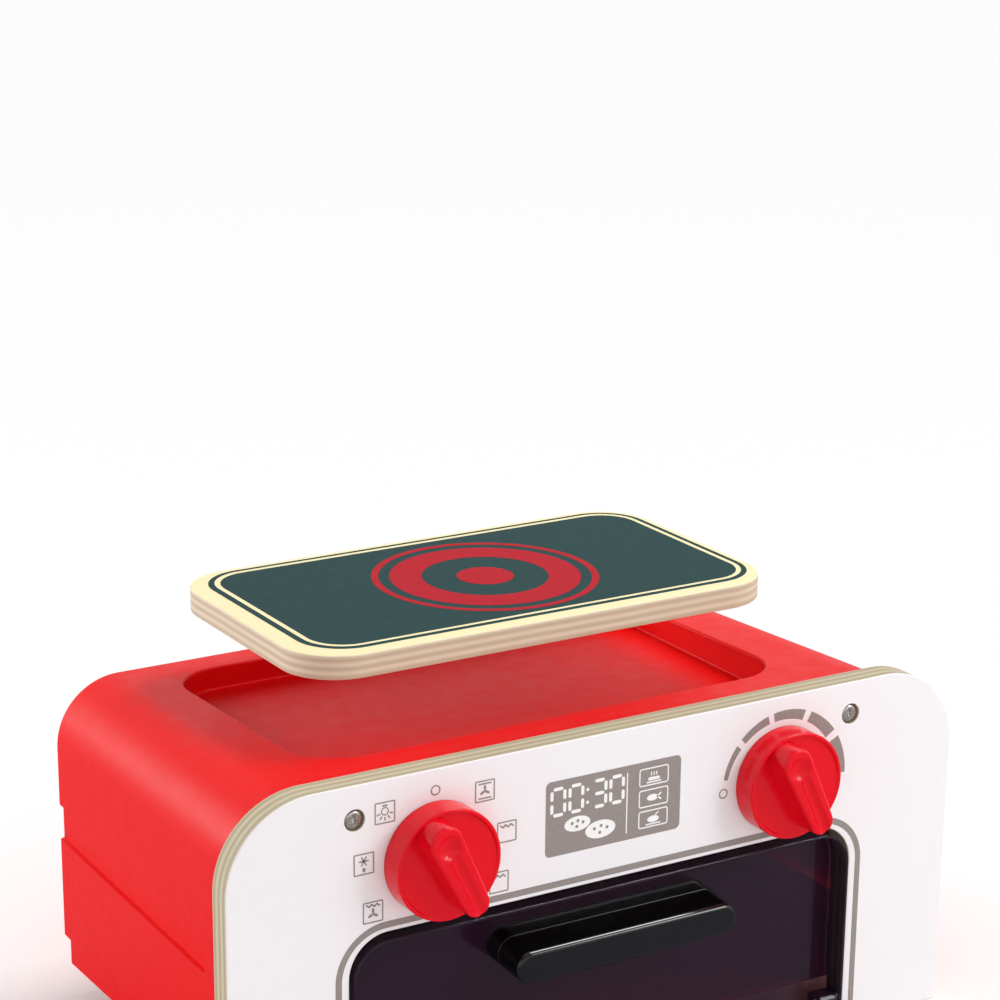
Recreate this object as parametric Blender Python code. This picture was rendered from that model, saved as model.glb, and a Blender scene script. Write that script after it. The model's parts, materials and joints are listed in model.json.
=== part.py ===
"""Toy oven: plywood front, moulded casing, drop-down door, two clicking knobs and a lift-off hob board.

Every piece is one closed solid. Lengths are in metres and +Z is up. The pieces are worked out in the
frame of the front panel: x runs to the right from its middle, y runs back from its front face (a depth),
and z runs up from its bottom edge. One empty then moves that frame to the middle of the whole part.
"""

import math

import bmesh
import bpy
from mathutils import Matrix, Vector

# Clearances shared by all pieces
GAP = 0.0003
OVERRUN = 0.002

# Plywood front panel
PANEL_WIDTH = 0.270
PANEL_HEIGHT = 0.1234
PANEL_THICKNESS = 0.009
PANEL_CORNER = 0.0286
LEG_WIDTH = 0.0406

# Moulded casing, drafted towards its closed back
CASING_SIDE_INSET = 0.00614
CASING_TOP_INSET = 0.00406
CASING_LENGTH = 0.14205
CASING_CORNER = 0.0228
CASING_WALL = 0.0022
CASING_BACK_EDGE = 0.002
SIDE_DRAFT_SHARE = 0.0348
TOP_DRAFT_SHARE = 0.0326

# Long band pressed into each side, which is the tray rail on the inside
BAND_HEIGHT = 0.0116
BAND_LEDGE = 0.059
BAND_PRESS = 0.0013
BAND_SETBACK = 0.0211
BAND_END_RADIUS = 0.005

# Base tray under the casing
BASE_LIFT = 0.0131
BASE_HEIGHT = 0.0106
BASE_WALL = 0.0022
BASE_FLOOR = 0.0022
BASE_SETBACK = 0.0017
BASE_MOUTH = 0.0018
BASE_CORNER = 0.003
STUB_THICKNESS = 0.0034
STUB_INSET = 0.0008
STUB_DOOR_MARGIN = 0.004

# Screw posts of the casing and the wells that meet them in the base
POST_RADIUS = 0.0045
POST_FRONT_SETBACK = 0.0125
POST_BACK_SETBACK = 0.0125
POST_WEB_HEIGHT = 0.016
POST_WEB_RAISE = 0.001
WEB_THICKNESS = 0.0022
WELL_RADIUS = 0.0055
WELL_HEIGHT = 0.0042
PANEL_POST_RADIUS = 0.005
PANEL_POST_LENGTH = 0.0187

# Back feet
FOOT_RADIUS = 0.009
FOOT_CHAMFER = 0.001
FOOT_SIDE_INSET = 0.022
FOOT_BACK_INSET = 0.016
FOOT_BORE_DEPTH = 0.004
FOOT_BOSS_RADIUS = 0.0045
FOOT_BOSS_HEIGHT = 0.008

# Hob board and the recess in the casing that it drops into
BOARD_WIDTH = 0.1764
BOARD_LENGTH = 0.0984
BOARD_THICKNESS = 0.00806
BOARD_CORNER = 0.019
BOARD_LIFT = 0.03434
RECESS_SETBACK = 0.0222
RECESS_DROP = 0.01184
RECESS_SIDE_CLEARANCE = 0.0011
RECESS_END_CLEARANCE = 0.0038
RECESS_CORNER = 0.018
RECESS_DRAFT = 0.0005

# Door, a shallow tray with a thin rim
DOOR_BELOW_KNOB = 0.02345
DOOR_LIFT = 0.0035
DOOR_CORNER = 0.012
DOOR_PROUD = 0.0015
DOOR_FACE = 0.002
DOOR_RIM = 0.0012
DOOR_SIDE_GAP = 0.001
DOOR_TOP_GAP = 0.0022
OPENING_CORNER_EXTRA = 0.0015

# Door hinge
HINGE_DEPTH = 0.0032
HINGE_HEIGHT = 0.0085
PIN_RADIUS = 0.0015
PIN_IN_DOOR = 0.0074
PIN_IN_PANEL = 0.006
EAR_RADIUS = 0.0042
EAR_LENGTH = 0.008

# Door handle
HANDLE_HALF_LENGTH = 0.0416
HANDLE_HALF_HEIGHT = 0.0058
HANDLE_DROP = 0.015
HANDLE_TAPER = 0.0003
HANDLE_THINNING = 0.0005
HANDLE_DROOP = 0.0015
HANDLE_PROUD = 0.0107
HANDLE_SEAM = 0.001
HANDLE_EDGE = 0.0015
HANDLE_WALL = 0.0024
TONGUE_LENGTH = 0.0033

# Door catch
CATCH_HALF_WIDTH = 0.009
CATCH_RAISE = 0.002
CATCH_HEIGHT = 0.010
CATCH_THICKNESS = 0.0037
CATCH_TONGUE = 0.002
CATCH_OVERLAP = 0.002
CATCH_CHAMFER = 0.0012

# Knobs
KNOB_INSET = 0.0704
KNOB_DROP = 0.02815
KNOB_RADIUS = 0.01796
KNOB_DISC = 0.0085
KNOB_REACH = 0.0164
KNOB_TURN = math.radians(26.0)
KNOB_RIM = 0.0012
KNOB_SCOOP = 0.0011
KNOB_SCOOP_SLOPE = 0.0004
KNOB_EDGE = 0.0008
GRIP_HEAD_RADIUS = 0.00545
GRIP_HEAD_REACH = 0.0171
GRIP_TIP_RADIUS = 0.00435
GRIP_TIP_REACH = 0.0166
GRIP_EDGE = 0.0009
GRIP_ROOT = 0.002
DIMPLE_RADIUS = 0.0045
DIMPLE_DEPTH = 0.0011
DIMPLE_OFFSET = 0.0103
GROOVE_HALF_WIDTH = 0.002
GROOVE_DEPTH = 0.0008
GROOVE_START = 0.0044

# Spindles, bushes and the click work behind the knobs
SPINDLE_RADIUS = 0.003
SPINDLE_FLAT = 0.0022
SPINDLE_IN_KNOB = 0.0066
BUSH_WALL = 0.002
BUSH_FLANGE = 0.0025
BUSH_FLANGE_THICKNESS = 0.001
WHEEL_RADIUS = 0.0085
WHEEL_THICKNESS = 0.0037
WHEEL_NOTCHES = 24
NOTCH_DEPTH = 0.001
NOTCH_HALF_WIDTH = 0.0009
WASHER_RADIUS = 0.005
WASHER_THICKNESS = 0.0008
SPRING_THICKNESS = 0.0006
SPRING_TAIL = 0.0025
SPRING_ROOT = 0.0095
SPRING_FOOT_LENGTH = 0.008
SPRING_FOOT_HEIGHT = 0.0085
SPRING_MARGIN = 0.0004
NOSE_HALF_WIDTH = 0.0006
NOSE_TIP_CLEARANCE = 0.00045

# Cross-head screws
SCREW_RADIUS = 0.0015
SCREW_HEAD_RADIUS = 0.00275
SCREW_HEAD_HEIGHT = 0.0017
SCREW_DOME = 0.0006
SCREW_TIP = 0.0015
CROSS_HALF_LENGTH = 0.0015
CROSS_HALF_WIDTH = 0.00035
CROSS_DEPTH = 0.001
HEAD_CLEARANCE = 0.00085
PANEL_SCREW_INSET = 0.0428
PANEL_SCREW_DROP = 0.0111
PANEL_SCREW_LENGTH = 0.022
BASE_SCREW_LENGTH = 0.012
FOOT_SCREW_LENGTH = 0.014
STUB_SCREW_HEIGHT = 0.0064
STUB_SCREW_LENGTH = 0.008
CATCH_SCREW_LENGTH = 0.009
SPRING_SCREW_LENGTH = 0.0055
SPINDLE_SCREW_LENGTH = 0.009
SMALL_SCREW_RADIUS = 0.0011
SMALL_HEAD_RADIUS = 0.0021
SMALL_HEAD_HEIGHT = 0.0012
SMALL_CROSS_HALF_LENGTH = 0.0011
SMALL_CROSS_DEPTH = 0.0007

# Facets
CORNER_STEPS = 8
EDGE_STEPS = 3
ROUND_STEPS = 16
KNOB_STEPS = 40
SMOOTH_ANGLE = math.radians(32.0)

# Sizes that follow from the ones above
PANEL_HALF = PANEL_WIDTH / 2
CASING_FRONT = PANEL_THICKNESS + GAP
CASING_BACK = CASING_FRONT + CASING_LENGTH
CASING_BOTTOM = BASE_LIFT + BASE_HEIGHT + GAP
FRAME_SHIFT = (KNOB_REACH - CASING_BACK) / 2
SCREW_HOLE = SCREW_RADIUS + GAP
SMALL_HOLE = SMALL_SCREW_RADIUS + GAP
HEAD_HOLE = SCREW_HEAD_RADIUS + HEAD_CLEARANCE
KNOB_OFFSET = PANEL_HALF - KNOB_INSET
KNOB_HEIGHT = PANEL_HEIGHT - KNOB_DROP
OPENING_HALF = PANEL_HALF - LEG_WIDTH
DOOR_HALF = OPENING_HALF - DOOR_SIDE_GAP
DOOR_TOP = KNOB_HEIGHT - DOOR_BELOW_KNOB
DOOR_FACE_FRONT = PANEL_THICKNESS - DOOR_FACE
OPENING_TOP = DOOR_TOP + DOOR_TOP_GAP
HANDLE_HEIGHT = DOOR_TOP - HANDLE_DROP
PANEL_SCREW_OFFSET = PANEL_HALF - PANEL_SCREW_INSET
PANEL_SCREW_HEIGHT = PANEL_HEIGHT - PANEL_SCREW_DROP
COUNTERBORE = SCREW_HEAD_HEIGHT + GAP + GAP
CATCH_BOTTOM = OPENING_TOP + CATCH_RAISE
CATCH_SCREW_HEIGHT = CATCH_BOTTOM + CATCH_HEIGHT / 2
FLANGE_BACK = CASING_FRONT + BUSH_FLANGE_THICKNESS
WHEEL_FRONT = FLANGE_BACK + GAP
WHEEL_BACK = WHEEL_FRONT + WHEEL_THICKNESS
WASHER_FRONT = WHEEL_BACK + GAP
WASHER_BACK = WASHER_FRONT + WASHER_THICKNESS
SPRING_LOW = WHEEL_RADIUS + GAP
SPRING_SCREW_SIDE = SPRING_ROOT + SPRING_FOOT_LENGTH / 2
SPRING_SCREW_RISE = SPRING_LOW + SPRING_FOOT_HEIGHT / 2
RECESS_FLOOR = PANEL_HEIGHT - CASING_TOP_INSET - RECESS_DROP
RECESS_HALF_WIDTH = BOARD_WIDTH / 2 + RECESS_SIDE_CLEARANCE
RECESS_HALF_LENGTH = BOARD_LENGTH / 2 + RECESS_END_CLEARANCE
RECESS_MIDDLE = CASING_FRONT + RECESS_SETBACK + RECESS_HALF_LENGTH
SIDES = (("left", -1), ("right", 1))


def linear_colour(code):
    """Turn an sRGB hex code into the linear colour that a shader wants."""
    colour = []
    for start in (0, 2, 4):
        value = int(code[start:start + 2], 16) / 255
        colour.append(value / 12.92 if value <= 0.04045 else ((value + 0.055) / 1.055) ** 2.4)
    return (*colour, 1.0)


def finish_material(name, code, roughness, metallic=0.0, alpha=1.0):
    """Make one Principled material from a hex colour."""
    made = bpy.data.materials.new(name)
    made.use_nodes = True
    shader = made.node_tree.nodes["Principled BSDF"]
    shader.inputs["Base Color"].default_value = linear_colour(code)
    shader.inputs["Roughness"].default_value = roughness
    shader.inputs["Metallic"].default_value = metallic
    shader.inputs["Alpha"].default_value = alpha
    return made


def casing_half(depth):
    """Half width of the casing's outside at a depth: it narrows evenly towards the back."""
    return PANEL_HALF - CASING_SIDE_INSET - SIDE_DRAFT_SHARE * (depth - CASING_FRONT)


def casing_top(depth):
    """Height of the casing's top at a depth: it falls evenly towards the back."""
    return PANEL_HEIGHT - CASING_TOP_INSET - TOP_DRAFT_SHARE * (depth - CASING_FRONT)


def base_half():
    """Half width of the base tray, set in from the casing's narrow end."""
    return casing_half(CASING_BACK) - BASE_SETBACK


def arc(centre, radius, start, stop, steps):
    """Points on a circle from one angle to another, both ends included."""
    points = []
    for step in range(steps + 1):
        angle = start + (stop - start) * step / steps
        points.append((centre[0] + radius * math.cos(angle), centre[1] + radius * math.sin(angle)))
    return points


def arch_outline(half, bottom, top, corner):
    """An upright rectangle with its two top corners rounded."""
    right = arc((half - corner, top - corner), corner, 0, math.pi / 2, CORNER_STEPS)
    left = arc((corner - half, top - corner), corner, math.pi / 2, math.pi, CORNER_STEPS)
    return [(-half, bottom), (half, bottom), *right, *left]


def rounded_outline(half_x, half_y, corner, middle_y):
    """A rectangle with four rounded corners."""
    points = []
    for quarter, (side_x, side_y) in enumerate(((1, 1), (-1, 1), (-1, -1), (1, -1))):
        centre = (side_x * (half_x - corner), middle_y + side_y * (half_y - corner))
        start = quarter * math.pi / 2
        points.extend(arc(centre, corner, start, start + math.pi / 2, CORNER_STEPS))
    return points


def stadium_outline(half_length, half_height, height):
    """A bar with two round ends."""
    reach = half_length - half_height
    right = arc((reach, height), half_height, -math.pi / 2, math.pi / 2, CORNER_STEPS)
    left = arc((-reach, height), half_height, math.pi / 2, 3 * math.pi / 2, CORNER_STEPS)
    return [*right, *left]


def circle_outline(radius, middle=(0, 0), steps=ROUND_STEPS):
    """A plain circle as a polygon."""
    return arc(middle, radius, 0, 2 * math.pi, steps)[:-1]


def d_outline(radius, flat):
    """A circle with one flat cut across its top."""
    half_angle = math.acos(flat / radius)
    start = math.pi / 2 + half_angle
    return arc((0, 0), radius, start, start + 2 * (math.pi - half_angle), ROUND_STEPS)


def skin(rings):
    """Join rings of points, which have equal counts, into one closed solid with two end caps."""
    shape = bmesh.new()
    rows = [[shape.verts.new(point) for point in ring] for ring in rings]
    count = len(rows[0])
    for lower, upper in zip(rows, rows[1:]):
        for index in range(count):
            following = (index + 1) % count
            shape.faces.new((lower[index], lower[following], upper[following], upper[index]))
    shape.faces.new(rows[0])
    shape.faces.new(rows[-1])
    bmesh.ops.recalc_face_normals(shape, faces=shape.faces)
    return shape


def along_y(outline, front, back):
    """Extrude an outline of (x, z) points from one depth to another."""
    return skin([[(x, depth, z) for x, z in outline] for depth in (front, back)])


def along_x(outline, left, right):
    """Extrude an outline of (y, z) points across the part."""
    return skin([[(x, y, z) for y, z in outline] for x in (left, right)])


def along_z(outline, bottom, top):
    """Extrude an outline of (x, y) points upwards."""
    return skin([[(x, y, z) for x, y in outline] for z in (bottom, top)])


def box(low, high):
    """A box between two opposite corners."""
    plan = [(low[0], low[1]), (high[0], low[1]), (high[0], high[1]), (low[0], high[1])]
    return along_z(plan, low[2], high[2])


def turned(profile, steps):
    """Turn a profile of (radius, y) points, which starts and ends on the y axis, into a solid."""
    shape = bmesh.new()
    rows = []
    for radius, depth in profile[1:-1]:
        rows.append([shape.verts.new((x, depth, z)) for x, z in circle_outline(radius, steps=steps)])
    for lower, upper in zip(rows, rows[1:]):
        for index in range(steps):
            following = (index + 1) % steps
            shape.faces.new((lower[index], lower[following], upper[following], upper[index]))
    for row, depth in ((rows[0], profile[0][1]), (rows[-1], profile[-1][1])):
        tip = shape.verts.new((0, depth, 0))
        for index in range(steps):
            shape.faces.new((row[index], row[(index + 1) % steps], tip))
    bmesh.ops.recalc_face_normals(shape, faces=shape.faces)
    return shape


def moved(shape, offset):
    """Shift a shape."""
    bmesh.ops.translate(shape, verts=shape.verts, vec=Vector(offset))
    return shape


def turned_over(shape, angle, axis):
    """Turn a shape about an axis through the origin."""
    bmesh.ops.rotate(shape, verts=shape.verts, matrix=Matrix.Rotation(angle, 3, axis))
    return shape


def gather(shapes):
    """Put shapes that don't touch each other into one object, ready for a Boolean."""
    whole = bpy.data.meshes.new("tool")
    merged = bmesh.new()
    for shape in shapes:
        shape.to_mesh(whole)
        shape.free()
        merged.from_mesh(whole)
    merged.to_mesh(whole)
    merged.free()
    made = bpy.data.objects.new("tool", whole)
    bpy.context.scene.collection.objects.link(made)
    return made


def combine(body, shapes, operation):
    """Cut shapes from a body, or join them to it, and keep the result as the body's own mesh."""
    tool = shapes if isinstance(shapes, bpy.types.Object) else gather(shapes)
    modifier = body.modifiers.new("combine", "BOOLEAN")
    modifier.operation = operation
    modifier.solver = "EXACT"
    modifier.object = tool
    bpy.context.view_layer.update()
    evaluated = body.evaluated_get(bpy.context.evaluated_depsgraph_get())
    result = bpy.data.meshes.new_from_object(evaluated)
    body.modifiers.clear()
    body.data = result
    bpy.data.objects.remove(tool)
    return body


def cut(body, shapes):
    """Take shapes away from a body."""
    return combine(body, shapes, "DIFFERENCE")


def join(body, shapes):
    """Add shapes to a body."""
    return combine(body, shapes, "UNION")


def settle(body, name, material, frame, origin=(0, 0, 0), turn=0):
    """Name a finished body, give it its material, and place it in its frame at its own origin."""
    body.name = name
    body.data.name = name
    body.data.transform(Matrix.Translation(-Vector(origin)))
    body.data.materials.clear()
    body.data.materials.append(material)
    body.data.shade_smooth()
    body.data.set_sharp_from_angle(angle=SMOOTH_ANGLE)
    body.parent = frame
    body.location = origin
    body.rotation_euler = (0, turn, 0)
    return body


def rod_x(radius, left, right, depth, height):
    """A round bar that runs across the part."""
    return along_x(circle_outline(radius, (depth, height)), left, right)


def rod_y(radius, x, height, front, back):
    """A round bar that runs from front to back."""
    return along_y(circle_outline(radius, (x, height)), front, back)


def rod_z(radius, x, depth, bottom, top):
    """A round bar that stands up."""
    return along_z(circle_outline(radius, (x, depth)), bottom, top)


def screw_body(length, radius, head_radius, head_height, cross_half, cross_depth):
    """A cross-head screw that points along +y, with its seat under the head at y = 0."""
    profile = [
        (0, -head_height),
        (head_radius - SCREW_DOME, -head_height),
        (head_radius, SCREW_DOME - head_height),
        (head_radius, 0),
        (radius, 0),
        (radius, length - SCREW_TIP),
        (0, length),
    ]
    body = gather([turned(profile, ROUND_STEPS)])
    slot_front = -head_height - OVERRUN
    slot_back = cross_depth - head_height
    wide = box((-cross_half, slot_front, -CROSS_HALF_WIDTH), (cross_half, slot_back, CROSS_HALF_WIDTH))
    tall = box((-CROSS_HALF_WIDTH, slot_front, -cross_half), (CROSS_HALF_WIDTH, slot_back, cross_half))
    return cut(cut(body, [wide]), [tall])


def add_screw(name, material, frame, seat, length, direction, small=False):
    """Place a screw whose head bears at the point seat and whose tip points along the direction."""
    if small:
        body = screw_body(length, SMALL_SCREW_RADIUS, SMALL_HEAD_RADIUS, SMALL_HEAD_HEIGHT,
                          SMALL_CROSS_HALF_LENGTH, SMALL_CROSS_DEPTH)
    else:
        body = screw_body(length, SCREW_RADIUS, SCREW_HEAD_RADIUS, SCREW_HEAD_HEIGHT,
                          CROSS_HALF_LENGTH, CROSS_DEPTH)
    angles = {"back": (0, "X"), "front": (math.pi, "Z"), "up": (math.pi / 2, "X")}
    angle, axis = angles[direction]
    body.data.transform(Matrix.Rotation(angle, 4, axis))
    settle(body, name, material, frame)
    body.location = seat
    return body


def stub_screw_offset():
    """Distance from the middle to the lower panel screws, half way along each stub."""
    return (OPENING_HALF + STUB_DOOR_MARGIN + base_half() - STUB_INSET) / 2


def corner_posts():
    """Places of the four posts that take the base screws, as (name, side, x, depth)."""
    reach = base_half() - BASE_WALL - GAP - POST_RADIUS
    depths = (("front", CASING_FRONT + POST_FRONT_SETBACK), ("back", CASING_BACK - POST_BACK_SETBACK))
    return [(f"{end}_{name}", side, side * reach, depth) for end, depth in depths for name, side in SIDES]


def foot_places():
    """Places of the two back feet, as (name, x, depth)."""
    reach = base_half() - FOOT_SIDE_INSET
    return [(name, side * reach, CASING_BACK - FOOT_BACK_INSET) for name, side in SIDES]


def front_panel(material, frame):
    """Plywood sheet with rounded top corners and a door opening that runs out at its bottom edge."""
    body = gather([along_y(arch_outline(PANEL_HALF, 0, PANEL_HEIGHT, PANEL_CORNER), 0, PANEL_THICKNESS)])
    corner = DOOR_CORNER + OPENING_CORNER_EXTRA
    opening = arch_outline(OPENING_HALF, -OVERRUN, OPENING_TOP, corner)
    cut(body, [along_y(opening, -OVERRUN, PANEL_THICKNESS + OVERRUN)])
    back = PANEL_THICKNESS + OVERRUN
    holes = []
    for _, side in SIDES:
        knob_x = side * KNOB_OFFSET
        screw_x = side * PANEL_SCREW_OFFSET
        bush_hole = SPINDLE_RADIUS + GAP + BUSH_WALL + GAP
        holes.append(rod_y(bush_hole, knob_x, KNOB_HEIGHT, -OVERRUN, back))
        holes.append(rod_y(SCREW_HOLE, screw_x, PANEL_SCREW_HEIGHT, COUNTERBORE / 2, back))
        spring_x = side * (KNOB_OFFSET - SPRING_SCREW_SIDE)
        spring_tip = CASING_FRONT + SPRING_THICKNESS + GAP - SPRING_SCREW_LENGTH - GAP
        holes.append(rod_y(SMALL_HOLE, spring_x, KNOB_HEIGHT + SPRING_SCREW_RISE, spring_tip, back))
        stub_tip = CASING_FRONT + STUB_THICKNESS - STUB_SCREW_LENGTH
        holes.append(rod_y(SCREW_HOLE, side * stub_screw_offset(), BASE_LIFT + STUB_SCREW_HEIGHT,
                           stub_tip, back))
        pin_inner = side * (OPENING_HALF - DOOR_SIDE_GAP)
        pin_outer = side * (OPENING_HALF + PIN_IN_PANEL + GAP)
        holes.append(rod_x(PIN_RADIUS + GAP, min(pin_inner, pin_outer), max(pin_inner, pin_outer),
                           HINGE_DEPTH, HINGE_HEIGHT))
    catch_tip = CASING_FRONT + CATCH_THICKNESS - CATCH_SCREW_LENGTH
    holes.append(rod_y(SCREW_HOLE, 0, CATCH_SCREW_HEIGHT, catch_tip, back))
    cut(body, holes)
    cut(body, [rod_y(HEAD_HOLE, side * PANEL_SCREW_OFFSET, PANEL_SCREW_HEIGHT, -OVERRUN, COUNTERBORE)
               for _, side in SIDES])
    return settle(body, "front_panel", material, frame)


def casing_shell(inset, front, back, bottom, edge):
    """The casing's drafted arch, set in by a wall, with a rounded back edge where edge isn't zero."""
    steps = [(front, 0)]
    if edge:
        for step in range(EDGE_STEPS + 1):
            angle = step / EDGE_STEPS * math.pi / 2
            steps.append((back - edge + edge * math.sin(angle), edge - edge * math.cos(angle)))
    else:
        steps.append((back, 0))
    rings = []
    for depth, extra in steps:
        total = inset + extra
        outline = arch_outline(casing_half(depth) - total, bottom, casing_top(depth) - total,
                               CASING_CORNER - total)
        rings.append([(x, depth, z) for x, z in outline])
    return skin(rings)


def side_pad(side, outline, outer_inset, inner_inset):
    """Extrude an outline of (depth, z) points between two insets from the casing's slanted side."""
    rings = []
    for inset in (outer_inset, inner_inset):
        rings.append([(side * (casing_half(depth) - inset), depth, z) for depth, z in outline])
    return skin(rings)


def band_outline(grow, back):
    """The side band: square at the bottom, rounded at its front end, run out past the back."""
    start = CASING_FRONT + BAND_SETBACK - grow
    low = BAND_LEDGE - grow
    high = BAND_LEDGE + BAND_HEIGHT + grow
    radius = BAND_END_RADIUS + grow
    rounded = arc((start + radius, high - radius), radius, math.pi / 2, math.pi, CORNER_STEPS)
    return [(back, low), (back, high), *rounded, (start, low)]


def recess_solid(grow, floor, top):
    """The hob recess, or the block that walls it in, as a loft that narrows to its floor."""
    rings = []
    for height, inset in ((floor, RECESS_DRAFT), (top, 0)):
        plan = rounded_outline(RECESS_HALF_WIDTH + grow - inset, RECESS_HALF_LENGTH + grow - inset,
                               RECESS_CORNER + grow - inset, RECESS_MIDDLE)
        rings.append([(x, y, height) for x, y in plan])
    return skin(rings)


def casing(material, frame):
    """Moulded shell, open at the front and bottom, with the hob recess, tray rails and screw posts."""
    body = gather([casing_shell(0, CASING_FRONT, CASING_BACK, CASING_BOTTOM, CASING_BACK_EDGE)])
    hollow = gather([casing_shell(CASING_WALL, CASING_FRONT - OVERRUN, CASING_BACK - CASING_WALL,
                                  CASING_BOTTOM - OVERRUN, 0)])
    ceiling = casing_top(CASING_FRONT)
    cut(hollow, [recess_solid(CASING_WALL, RECESS_FLOOR - CASING_WALL, ceiling)])
    cut(hollow, [side_pad(side, band_outline(CASING_WALL, CASING_BACK), 0, CASING_WALL + BAND_PRESS)
                 for _, side in SIDES])
    cut(body, hollow)

    posts = []
    webs = []
    for _, side, x, depth in corner_posts():
        foot = BASE_LIFT + WELL_HEIGHT + GAP
        posts.append(rod_z(POST_RADIUS, x, depth, foot, CASING_BOTTOM + POST_WEB_HEIGHT))
        wall = side * (casing_half(depth) - CASING_WALL / 2)
        webs.append(box((min(x, wall), depth - WEB_THICKNESS / 2, CASING_BOTTOM + POST_WEB_RAISE),
                        (max(x, wall), depth + WEB_THICKNESS / 2, CASING_BOTTOM + POST_WEB_HEIGHT - GAP)))
    for _, side in SIDES:
        x = side * PANEL_SCREW_OFFSET
        end = CASING_FRONT + PANEL_POST_LENGTH
        posts.append(rod_y(PANEL_POST_RADIUS, x, PANEL_SCREW_HEIGHT, CASING_FRONT, end))
        webs.append(box((x - WEB_THICKNESS / 2, CASING_FRONT + GAP, PANEL_SCREW_HEIGHT),
                        (x + WEB_THICKNESS / 2, end - GAP, casing_top(end) - CASING_WALL / 2)))
    join(body, webs)
    join(body, posts)

    cuts = [recess_solid(0, RECESS_FLOOR, ceiling)]
    cuts += [side_pad(side, band_outline(0, CASING_BACK + OVERRUN), -OVERRUN, BAND_PRESS)
             for _, side in SIDES]
    for _, _, x, depth in corner_posts():
        head_seat = BASE_LIFT + COUNTERBORE
        cuts.append(rod_z(SCREW_HOLE, x, depth, head_seat, head_seat + BASE_SCREW_LENGTH + GAP))
    for _, side in SIDES:
        tip = COUNTERBORE + PANEL_SCREW_LENGTH + GAP
        cuts.append(rod_y(SCREW_HOLE, side * PANEL_SCREW_OFFSET, PANEL_SCREW_HEIGHT,
                          CASING_FRONT - OVERRUN, tip))
    cut(body, cuts)
    return settle(body, "casing", material, frame)


def base_plate(material, frame):
    """Shallow tray that closes the casing from below and carries the back feet."""
    half = base_half()
    top = BASE_LIFT + BASE_HEIGHT
    front = CASING_FRONT + BASE_MOUTH
    middle = (front + CASING_BACK) / 2
    half_length = (CASING_BACK - front) / 2
    body = gather([along_z(rounded_outline(half, half_length, BASE_CORNER, middle), BASE_LIFT, top)])
    cut(body, [box((BASE_WALL - half, front - OVERRUN, BASE_LIFT + BASE_FLOOR),
                   (half - BASE_WALL, CASING_BACK - BASE_WALL, top + OVERRUN))])

    lugs = []
    for _, side in SIDES:
        inner = side * (OPENING_HALF + STUB_DOOR_MARGIN)
        outer = side * (half - STUB_INSET)
        lugs.append(box((min(inner, outer), CASING_FRONT, BASE_LIFT + STUB_INSET),
                        (max(inner, outer), CASING_FRONT + STUB_THICKNESS, top - STUB_INSET)))
    for _, _, x, depth in corner_posts():
        lugs.append(rod_z(WELL_RADIUS, x, depth, BASE_LIFT + BASE_FLOOR / 2, BASE_LIFT + WELL_HEIGHT))
    for _, x, depth in foot_places():
        lugs.append(rod_z(FOOT_BOSS_RADIUS, x, depth, BASE_LIFT + BASE_FLOOR / 2,
                          BASE_LIFT + FOOT_BOSS_HEIGHT))
    join(body, lugs)

    holes = []
    bores = []
    for _, side in SIDES:
        holes.append(rod_y(SCREW_HOLE, side * stub_screw_offset(), BASE_LIFT + STUB_SCREW_HEIGHT,
                           CASING_FRONT - OVERRUN, CASING_FRONT + STUB_THICKNESS + OVERRUN))
    for _, _, x, depth in corner_posts():
        bores.append(rod_z(HEAD_HOLE, x, depth, BASE_LIFT - OVERRUN, BASE_LIFT + COUNTERBORE))
        holes.append(rod_z(SCREW_HOLE, x, depth, BASE_LIFT, BASE_LIFT + WELL_HEIGHT + OVERRUN))
    for _, x, depth in foot_places():
        tip = FOOT_BORE_DEPTH + FOOT_SCREW_LENGTH + GAP
        holes.append(rod_z(SCREW_HOLE, x, depth, BASE_LIFT - OVERRUN, tip))
    cut(body, bores)
    cut(body, holes)
    return settle(body, "base_plate", material, frame)


def back_foot(name, material, frame, x, depth):
    """Round foot with a chamfered sole, bored from below for its screw."""
    top = BASE_LIFT - GAP
    rings = []
    for radius, height in ((FOOT_RADIUS - FOOT_CHAMFER, 0), (FOOT_RADIUS, FOOT_CHAMFER), (FOOT_RADIUS, top)):
        rings.append([(px, py, height) for px, py in circle_outline(radius, (x, depth))])
    body = gather([skin(rings)])
    cut(body, [rod_z(HEAD_HOLE, x, depth, -OVERRUN, FOOT_BORE_DEPTH)])
    cut(body, [rod_z(SCREW_HOLE, x, depth, FOOT_BORE_DEPTH / 2, top + OVERRUN)])
    return settle(body, name, material, frame)


def board_bottom():
    """Height of the hob board's underside, lifted clear of its recess."""
    return RECESS_FLOOR + GAP + BOARD_LIFT


def hob_board(material, frame):
    """Plywood hob board, held above its recess as it is when a child lifts it off."""
    middle = RECESS_MIDDLE
    plan = rounded_outline(BOARD_WIDTH / 2, BOARD_LENGTH / 2, BOARD_CORNER, middle)
    bottom = board_bottom()
    body = gather([along_z(plan, bottom, bottom + BOARD_THICKNESS)])
    return settle(body, "hob_board", material, frame, (0, middle, bottom))


def handle_section(depth):
    """Outline of the handle at a depth: it narrows and droops evenly from the door face outwards."""
    share = (DOOR_FACE_FRONT - depth) / (DOOR_FACE_FRONT + HANDLE_PROUD)
    return (HANDLE_HALF_LENGTH - HANDLE_TAPER * share, HANDLE_HALF_HEIGHT - HANDLE_THINNING * share,
            HANDLE_HEIGHT - HANDLE_DROOP * share)


def handle_solid(stations):
    """Loft the handle through (depth, inset) stations."""
    rings = []
    for depth, inset in stations:
        half_length, half_height, height = handle_section(depth)
        outline = stadium_outline(half_length - inset, half_height - inset, height)
        rings.append([(x, depth, z) for x, z in outline])
    return skin(rings)


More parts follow.
